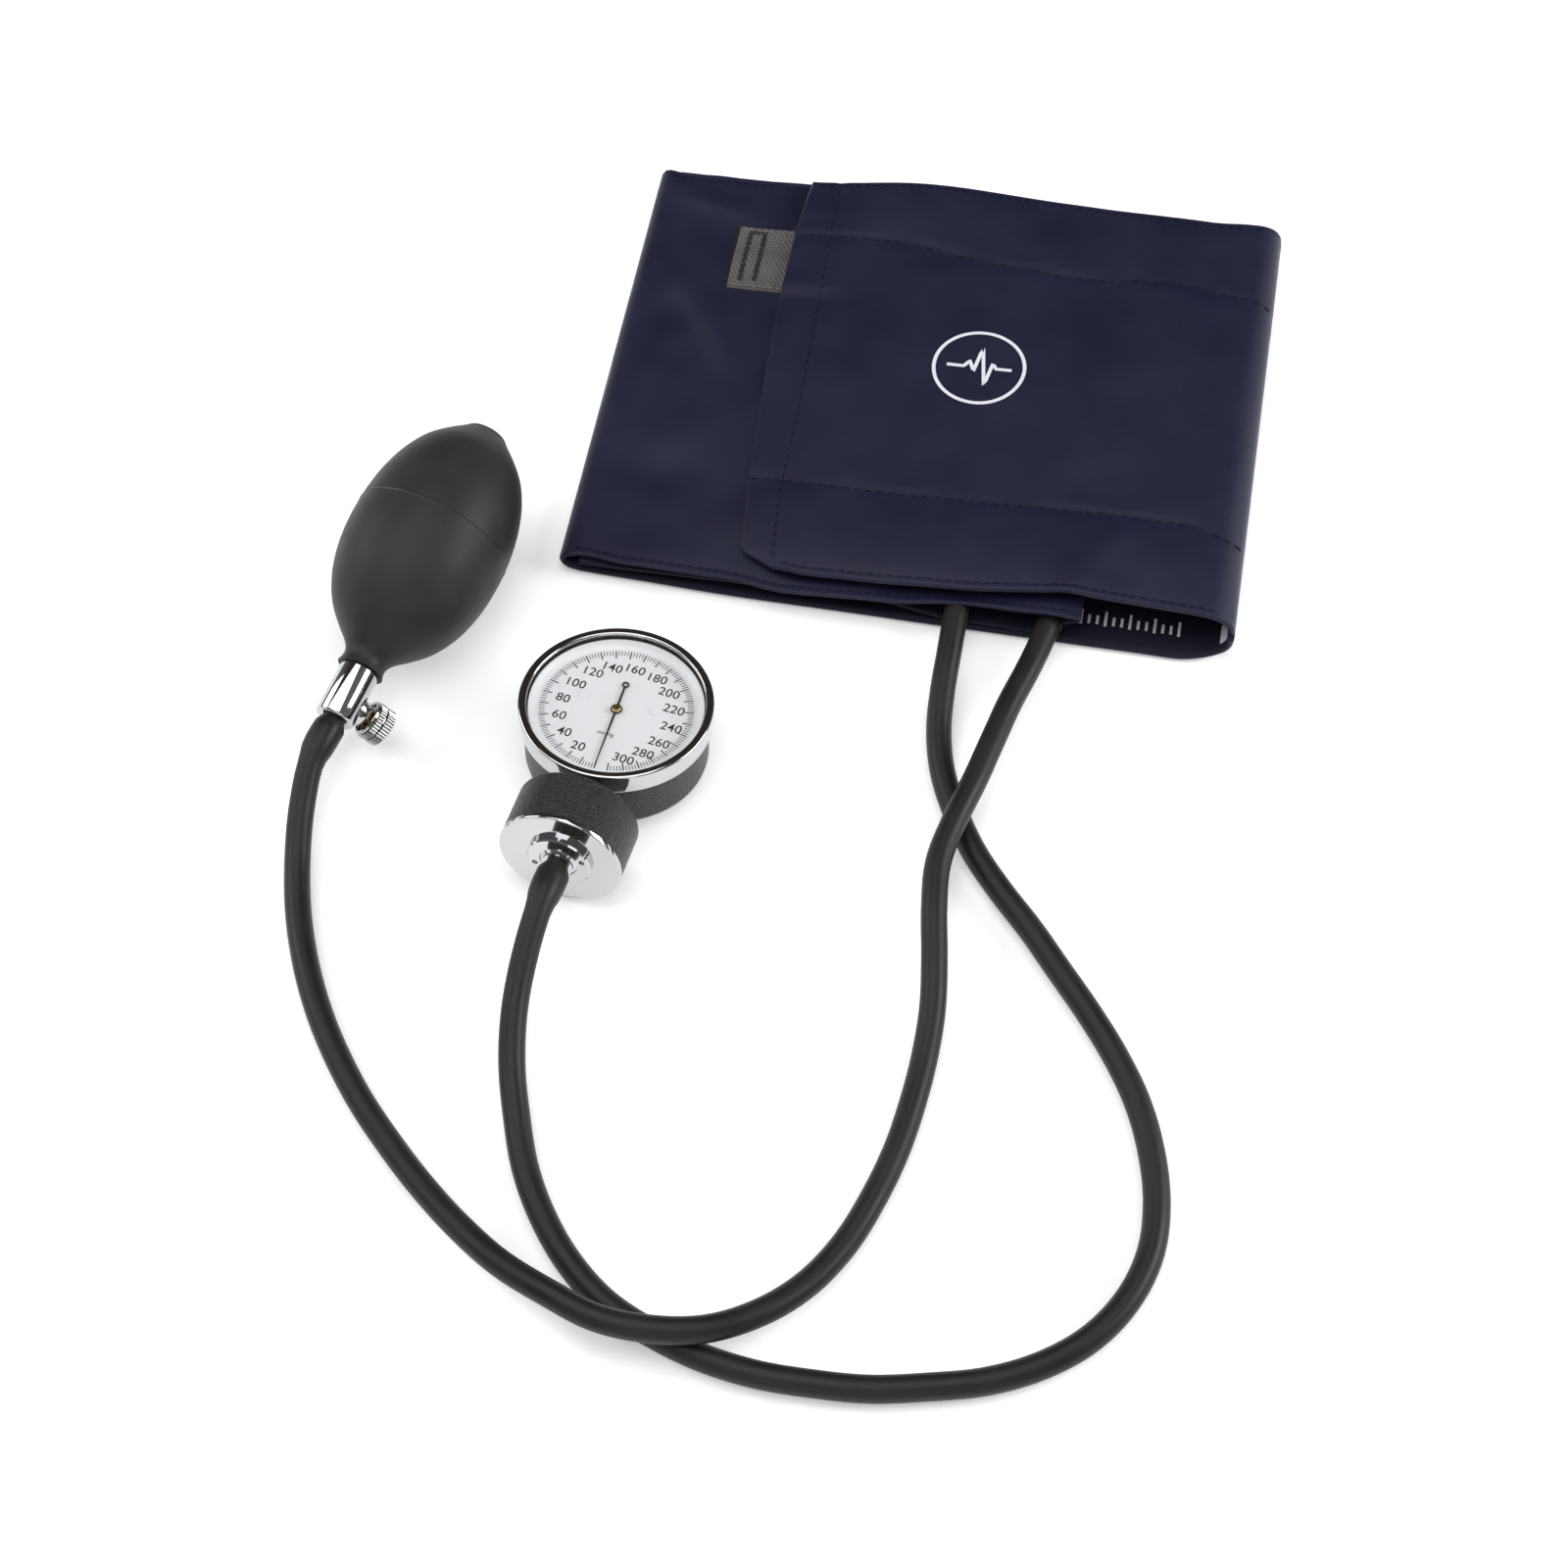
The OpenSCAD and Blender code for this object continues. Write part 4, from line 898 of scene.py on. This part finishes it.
def band_stitching():
    """Two satin-stitched bars on the webbing, joined at one end."""
    corners = [(-33.4, 92.0), (-33.4, 112.0), (-29.0, 112.0), (-29.0, 92.0)]
    path = []
    for a, b in zip(corners, corners[1:]):
        steps = max(2, int(math.dist(a, b) / 0.55))
        path += [np.array(a) + (np.array(b) - np.array(a)) * k / steps for k in range(steps)]
    parts = []
    for spot, behind, ahead in zip(path, path[:1] + path[:-1], path[1:] + path[-1:]):
        along = unit(ahead - behind)
        reach = np.array([-along[1], along[0]]) * 0.75
        ends = []
        for way, crown in ((-1, 0), (0, 0.22), (1, 0)):
            x, v = spot + reach * way
            p, n = base.frame(base_s(x), v)
            ends.append(p + n * (base.half(base_s(x), v) + 1.08 + crown))
        start, middle, end = ends
        line = [start, (start + middle) / 2, middle, (middle + end) / 2, end]
        rise = np.array([0, 0, 1.0])
        across = np.cross(unit(end - start), rise)
        parts.append(rod(line, [across] * 5, [rise] * 5, [0.26] * 5, YARN_SIDES))
    return join_meshes("webbing_bar_stitches", parts, thread_black)


bar_stitches = band_stitching()


def frayed_end():
    """Loose yarn ends along the webbing's cut edge."""
    count, yarn_sides = 40, 5
    parts = []
    for k in range(count):
        v = TAB_V[0] + 0.4 + 24.2 * k / (count - 1) + 0.25 * soft_noise(k, 1, 1.3, 61)
        reach = 0.9 + 0.8 * soft_noise(k, 5, 1.7, 62)
        sway = 0.7 * soft_noise(k, 9, 1.9, 63)
        spots = []
        for t in (0, 0.33, 0.67, 1):
            s, across = base_s(-37.0) - reach * 1.3 * t, v + sway * t * t
            p, n = base.frame(s, across)
            height = base.half(s, across) + 0.55 - 0.3 * t + 0.25 * soft_noise(k, t, 0.9, 64)
            spots.append(p + n * height)
        alongs = [unit(b - a) for a, b in zip(spots[:1] + spots[:-1], spots[1:] + spots[-1:])]
        sideways = [unit(np.cross(along, (0, 0, 1))) for along in alongs]
        rises = [np.cross(side_way, along) for side_way, along in zip(sideways, alongs)]
        parts.append(rod(spots, sideways, rises, [0.24 - 0.04 * i for i in range(4)], yarn_sides))
    return join_meshes("webbing_frayed_end", parts, webbing)


fray = frayed_end()


def ribbon(name, sheet, paths, width, outward, material, offset=0.07):
    """Printed lines on a sheet: flat ribbons a hair above its face. Paths are (s, v) pairs."""
    parts = []
    for path in paths:
        line = np.array(path, float)
        before = np.vstack([line[:1], line[:-1]])
        after = np.vstack([line[1:], line[-1:]])
        if path[0] == path[-1]:
            before[0], after[-1] = line[-2], line[1]
        points, faces = [], []
        for (s, v), step in zip(line, after - before):
            ts, tv = unit(step)
            for way in (-1, 1):
                s1, v1 = s - tv * width / 2 * way, v + ts * width / 2 * way
                points.append(sheet.on(s1, v1, outward * offset))
                points.append(sheet.on(s1, v1, outward * 0.005))
        last = 4 * (len(line) - 1)
        for a in range(0, last, 4):
            b = a + 4
            faces += [(a, b, b + 2, a + 2), (a + 1, a + 3, b + 3, b + 1)]
            faces += [(a, a + 1, b + 1, b), (a + 2, b + 2, b + 3, a + 3)]
        faces += [(0, 2, 3, 1), (last, last + 1, last + 3, last + 2)]
        parts.append((points, faces))
    return join_meshes(name, parts, material)


def emblem_paths():
    """A ring with a pulse line across it."""
    cx, cv, r = 42.5, 65.0, 13.2
    ring = [(cx + r * math.cos(a), cv + r * math.sin(a)) for a in np.linspace(0, 2 * math.pi, 73)]
    ring[-1] = ring[0]
    pulse = [
        (-9.5, 0), (-4.5, 0), (-3, 2.2), (-1.5, -1.5), (0.2, 7.5), (2.2, -6.5), (3.8, 1.8), (5, 0), (9.5, 0),
    ]
    fine = []
    for a, b in zip(pulse, pulse[1:]):
        fine += [(a[0] + (b[0] - a[0]) * t, a[1] + (b[1] - a[1]) * t) for t in np.linspace(0, 1, 6)[:-1]]
    fine.append(pulse[-1])
    return [[(flap_s(x), v) for x, v in ring], [(flap_s(cx + x), cv + v) for x, v in fine]]


emblem = ribbon("printed_emblem", flap, emblem_paths(), 1.05, FLAP_OUT, white_print)


def range_paths():
    """A row of short bars, like the start of a ruler."""
    paths = []
    for k in range(13):
        x = bottom_s(82.5 + 2.3 * k)
        low = -9.2 if k % 3 else -9.6
        paths.append([(x, v) for v in np.linspace(low, -4.6 if k % 3 == 0 else -6.2, 4)])
    return paths


range_marks = ribbon("printed_range_marks", base, range_paths(), 0.8, -1, white_print)
end_path = [(s, -10.6) for s in np.linspace(0.6, 6.2, 6)]
end_mark = ribbon("printed_end_mark", base, [end_path], 6.4, -1, white_print)

for piece in [flap_cloth, hook, emblem] + flap_seams:
    bend_with_flap(piece)
for piece in [base_cloth, range_marks, end_mark] + base_seams:
    bend_with_base(piece)
for piece in (ply_cloth, loop, tab, bar_stitches, fray):
    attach(piece, "set")


# ---------- Bulb and valve ----------

BULB_LEN = 80.0
BULB_R = 22.5
BULB_SHAPE = [
    (0, 0.295), (0.02, 0.275), (0.05, 0.285), (0.08, 0.35), (0.12, 0.49), (0.18, 0.68),
    (0.27, 0.855), (0.37, 0.957), (0.46, 0.995), (0.54, 1), (0.62, 0.98), (0.72, 0.915),
    (0.81, 0.805), (0.88, 0.665), (0.93, 0.51), (0.955, 0.42), (0.972, 0.355), (0.985, 0.31),
    (1, 0.26),
]
SEAM_AT = 45.0


def bulb_profile():
    heights = np.concatenate([
        np.linspace(0, 8, 28), np.linspace(8.5, SEAM_AT - 0.7, 60),
        SEAM_AT + np.array([-0.35, -0.25, -0.12, 0, 0.12, 0.25, 0.35]),
        np.linspace(SEAM_AT + 0.7, 74, 46), np.linspace(74.3, BULB_LEN - 0.3, 34),
    ])
    shape = np.array(BULB_SHAPE)
    ridge = 0.16 * np.exp(-(((heights - SEAM_AT) / 0.16) ** 2))
    radii = smooth_values(shape[:, 0], shape[:, 1], heights / BULB_LEN) * BULB_R + ridge
    outline = [(float(r), float(h)) for r, h in zip(radii, heights)]
    r_end = outline[-1][0]
    lip = [(4.7, 0.35), (4.7, -0.02), (6.2, -0.02), (6.5, 0.03)]
    tail = [(r_end - 0.25, BULB_LEN - 0.08), (r_end - 0.6, BULB_LEN), (4.65, BULB_LEN), (4.6, BULB_LEN - 1)]
    inner = [(4.6, 73), (10, 70), (18.5, 52), (19.4, 40), (17, 24), (8, 10), (4.7, 7)]
    return lip + outline + tail + inner


profile = bulb_profile()
# Faces on the mould-line ridge take the rubber with the painted highlight.
on_seam = [
    int(abs(0.5 * (a[1] + b[1]) - SEAM_AT) < 0.2 and a[0] > 20)
    for a, b in zip(profile, profile[1:] + profile[:1])
]
bulb_piece = lathe("squeeze_bulb", bulb, profile, [bulb_rubber, seam_highlight_rubber], 128, on_seam, sharp=45)
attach(bulb_piece, "set")
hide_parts("bulb_shell")


def valve_sleeve():
    """The visible chromed sleeve, with a step at each end. The boss for the needle is a piece of its own."""
    profile = [
        (1.2, 0.0), (5.1, 0.0), (5.35, -0.12), (5.5, -0.35), (5.55, -0.7), (5.55, -15.2), (5.45, -15.6),
        (5.15, -15.92), (4.8, -16.0), (1.2, -16.0),
    ]
    return lathe("valve_sleeve", bulb, profile, chrome, 96)


sleeve = valve_sleeve()
boss = lathe("valve_boss", knob, [
    (1.8, 3.5), (3.55, 3.5), (3.6, 4), (3.6, 6.7), (3.45, 7.0), (3.1, 7.2), (1.8, 7.2),
], chrome, 64)
barb = lathe("valve_barb", bulb, [
    (1.2, -15.9), (2.3, -15.9), (2.3, -20.5), (2.8, -21), (2.2, -24), (2.8, -25.5), (1.9, -29), (1.2, -29),
], chrome, 48)
for piece in (sleeve, boss, barb):
    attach(piece, "set")
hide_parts("release_valve_body")


def thumb_wheel():
    """The thumb screw: two bands of straight knurl, a groove, a hollow rim and a domed end."""
    sides, teeth, knurl = 288, 36, 0.36
    rows = [(1.76, 1.6, 0), (4.2, 1.6, 0), (4.3, 1.5, 0), (4.3, 0.3, 0), (4.5, 0.0, 0), (4.95, 0.0, 0)]
    rows += [(5.1, 0.15, 0), (5.1, 0.75, 0), (4.8, 0.85, 0), (4.8, 1.0, 0)]
    rows += [(5.1, h, 1) for h in np.linspace(1.15, 2.95, 5)]
    rows += [(4.75, 3.1, 0), (4.75, 3.4, 0)]
    rows += [(5.1, h, 1) for h in np.linspace(3.55, 5.95, 5)]
    rows += [(5.05, 6.05, 0), (4.85, 6.3, 0), (4.4, 6.46, 0), (2.5, 6.5, 0), (1.76, 6.5, 0), (1.76, 4.5, 0)]
    points, faces = [], []
    for radius, height, knurled in rows:
        for k in range(sides):
            a = 2 * math.pi * k / sides
            r = radius
            if knurled:
                r += knurl * abs(math.cos(teeth * a / 2)) ** 0.8
            points.append((r * math.cos(a), r * math.sin(a), height + KNOB_IN))
    for i in range(len(rows)):
        n = (i + 1) % len(rows)
        for k in range(sides):
            m = (k + 1) % sides
            faces.append((i * sides + k, i * sides + m, n * sides + m, n * sides + k))
    return mesh_object("thumb_wheel", place(knob, points), faces, knob_chrome, sharp=30)


wheel = thumb_wheel()
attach(wheel, "thumb_screw")
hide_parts("thumb_screw")


# ---------- Gauge ----------

bezel = lathe("bezel_ring", gauge, [
    (25.1, 15.75), (25.1, 15.6), (25.7, 15.6), (26.05, 15.7), (26.25, 15.95), (26.3, 16.3), (26.3, 21.2),
    (26.29, 21.5), (26.22, 21.74), (26.06, 21.9), (25.82, 21.98), (25.5, 22.0), (24.5, 22.0), (24.28, 21.93),
    (24.12, 21.75), (24.05, 21.45), (24.05, 21.25), (24.75, 21.22), (24.8, 21.2), (24.8, 19.0), (25.1, 18.9),
], chrome, 160)
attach(bezel, "set")
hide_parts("bezel")

DIAL_TOP = 18.3
ZERO_AT = 178.1
SWEEP = 350.0
FULL_SCALE = 300


def dial_angle(value):
    """Degrees clockwise from the gauge's +Y for a value on the scale."""
    return ZERO_AT + SWEEP * value / FULL_SCALE


def on_dial(angle, radius):
    a = math.radians(angle)
    return radius * math.sin(a), radius * math.cos(a)


BOX_FACES = [(0, 1, 2, 3), (7, 6, 5, 4), (0, 4, 5, 1), (1, 5, 6, 2), (2, 6, 7, 3), (3, 7, 4, 0)]


def tick_marks():
    parts = []
    for value in range(0, FULL_SCALE + 1, 2):
        long_tick = value % 10 == 0
        inner_r, outer_r, width = (18.3, 20.9, 0.34) if long_tick else (19.3, 20.9, 0.2)
        a = math.radians(dial_angle(value))
        out = np.array([math.sin(a), math.cos(a)])
        across = np.array([out[1], -out[0]]) * width / 2
        points = []
        for z in (DIAL_TOP - 0.01, DIAL_TOP + 0.03):
            for r, w in ((inner_r, -1), (inner_r, 1), (outer_r, 1), (outer_r, -1)):
                x, y = out * r + across * w
                points.append(gauge @ Vector((x, y, z)))
        parts.append((points, BOX_FACES))
    return parts


def text_mesh(words, size):
    """Flat letters with a hair of thickness, centred on the origin, in millimetres."""
    curve = bpy.data.curves.new("letters", "FONT")
    curve.body = words
    curve.size = size
    curve.extrude = 0.02
    curve.offset = 0.006 * size
    curve.space_character = 1.02
    curve.align_x, curve.align_y = "CENTER", "CENTER"
    obj = bpy.data.objects.new("letters", curve)
    bpy.context.scene.collection.objects.link(obj)
    mesh = bpy.data.meshes.new_from_object(obj.evaluated_get(bpy.context.evaluated_depsgraph_get()))
    work = bmesh.new()
    work.from_mesh(mesh)
    bmesh.ops.remove_doubles(work, verts=work.verts, dist=1e-5)
    work.verts.index_update()
    points = [tuple(v.co) for v in work.verts]
    faces = [tuple(v.index for v in f.verts) for f in work.faces]
    work.free()
    bpy.data.objects.remove(obj)
    bpy.data.meshes.remove(mesh)
    bpy.data.curves.remove(curve)
    return points, faces


# Value, degrees clockwise and radius of each number's middle
NUMBERS = [
    (20, 201.0, 16.0), (40, 223.5, 15.7), (60, 246.0, 15.4), (80, 268.5, 15.0), (100, 292.5, 14.6),
    (120, 316.0, 14.9), (140, 337.0, 15.0), (160, 1.0, 15.0), (180, 26.5, 15.4), (200, 49.5, 15.3),
    (220, 72.0, 15.4), (240, 95.0, 15.9), (260, 117.0, 16.1), (280, 136.5, 16.6), (300, 155.5, 17.0),
]
TEXT_TURN = -2.0


def place_text(words, size, x, y):
    points, faces = text_mesh(words, size)
    turn = Matrix.Rotation(math.radians(TEXT_TURN), 4, "Z")
    moved = [gauge @ (turn @ Vector(p) + Vector((x, y, DIAL_TOP + 0.01))) for p in points]
    return moved, faces


prints = tick_marks()
for value, angle, radius in NUMBERS:
    prints.append(place_text(str(value), 3.95, *on_dial(angle, radius)))
prints.append(place_text("mmHg", 1.7, *on_dial(181, 8.6)))
dial_print = join_meshes("dial_print", prints, black_ink)
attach(dial_print, "set")

dial_rim = lathe("dial_rim", gauge, [
    (21.6, DIAL_TOP - 0.02), (23.75, DIAL_TOP - 0.02), (23.75, 19.9), (23.6, 20.0), (23.45, 19.6),
    (22.9, 18.75), (22.2, 18.45), (21.6, DIAL_TOP + 0.02),
], dial_rim_paint, 128)
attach(dial_rim, "set")

end_cap = lathe("end_cap", stem, [
    (5.2, 45.7), (16.65, 45.7), (16.75, 45.8), (16.75, 46.45), (16.68, 46.68), (16.5, 46.8), (16.2, 46.78),
    (16.0, 46.62), (15.8, 46.56), (5.2, 46.56),
], chrome, 128)
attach(end_cap, "set")
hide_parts("end_plate")


# ---------- Materials on the CAD nodes that stay ----------

MATERIAL_NODES = (
    (black_paint, ("gauge_case", "neck_tube", "capsule_housing")),
    (chrome, ("spanner_ring", "gauge_barb")),
    (satin_chrome, ("inlet_body",)),
    (glass, ("lens",)),
    (seal_rubber, ("lens_gasket", "housing_seal")),
    (dial_paint, ("dial_plate", "dial_screws")),
    (black_ink, ("pointer",)),
    (brass, ("dial_feet", "pointer_hub", "pinion_arbor", "sector_gear", "lower_plate", "upper_plate",
             "movement_pillars", "capsule", "outlet_seat", "gland_nut", "needle_spindle")),
    (spring_blue, ("hairspring",)),
    (steel, ("push_rod", "movement_screws", "neck_nuts", "inlet_ball", "inlet_cage", "outlet_ball")),
)
for material, node in [(m, n) for m, nodes in MATERIAL_NODES for n in nodes]:
    data = frame["nodes"][node].data
    if not data.materials:
        data.materials.append(material)
    for index in range(len(data.materials)):
        data.materials[index] = material


# ---------- Floor, light ----------

def add_floor():
    mesh = bpy.data.meshes.new("floor")
    size, drop = 6.0, -0.0004
    corners = [(x * size, y * size, drop) for x, y in ((-1, -1), (1, -1), (1, 1), (-1, 1))]
    mesh.from_pydata(corners, [], [(0, 1, 2, 3)])
    material, tree, shader = new_material("floor_paper", (0.93, 0.93, 0.93), 0.9)
    shader.inputs["Specular IOR Level"].default_value = 0.1
    shader.inputs["Emission Color"].default_value = (1, 1, 1, 1)
    shader.inputs["Emission Strength"].default_value = 0.3
    tint(tree, shader, noise_field(tree, coordinates(tree), 0.01), (0.93, 0.93, 0.93), (0.94, 0.94, 0.94))
    mesh.materials.append(material)
    floor = bpy.data.objects.new("floor", mesh)
    bpy.context.scene.collection.objects.link(floor)


def add_light(name, where, target, size, power, tone=(1, 1, 1)):
    data = bpy.data.lights.new(name, "AREA")
    data.shape = "RECTANGLE"
    data.size, data.size_y = size
    data.energy = power
    data.color = tone
    lamp = bpy.data.objects.new(name, data)
    bpy.context.scene.collection.objects.link(lamp)
    lamp.location = where
    look_at(lamp, target)


def add_world():
    """A dim studio, darker in the part of the room that the flat shiny faces mirror."""
    world = bpy.data.worlds.new("studio")
    bpy.context.scene.world = world
    world.use_nodes = True
    tree = world.node_tree
    background = tree.nodes["Background"]
    where = add_node(tree, "ShaderNodeTexCoord")
    towards = add_node(tree, "ShaderNodeVectorMath", operation="DOT_PRODUCT")
    towards.inputs[1].default_value = (-0.13, 0.70, 0.70)
    tree.links.new(where.outputs["Generated"], towards.inputs[0])
    shade = remap(tree, towards.outputs["Value"], 0.62, 0.90, 0, 1)
    tone = mix_colours(tree, shade, (0.17, 0.17, 0.175), (0.040, 0.034, 0.031))
    tree.links.new(tone, background.inputs["Color"])
    background.inputs["Strength"].default_value = 1.0


add_floor()
add_world()
add_light("top", (-0.2, -0.15, 1.4), (0, -0.05, 0), (1.4, 1.4), 14)
add_light("left", (-1.1, 0.1, 0.6), (0, 0, 0), (0.8, 0.6), 5)
add_light("right", (1.0, 0.15, 0.55), (0, -0.05, 0), (0.7, 0.5), 9)
add_light("front", (0.1, -1.3, 0.6), (0, -0.1, 0), (1.2, 0.5), 3)
bpy.context.scene.view_settings.view_transform = "Standard"
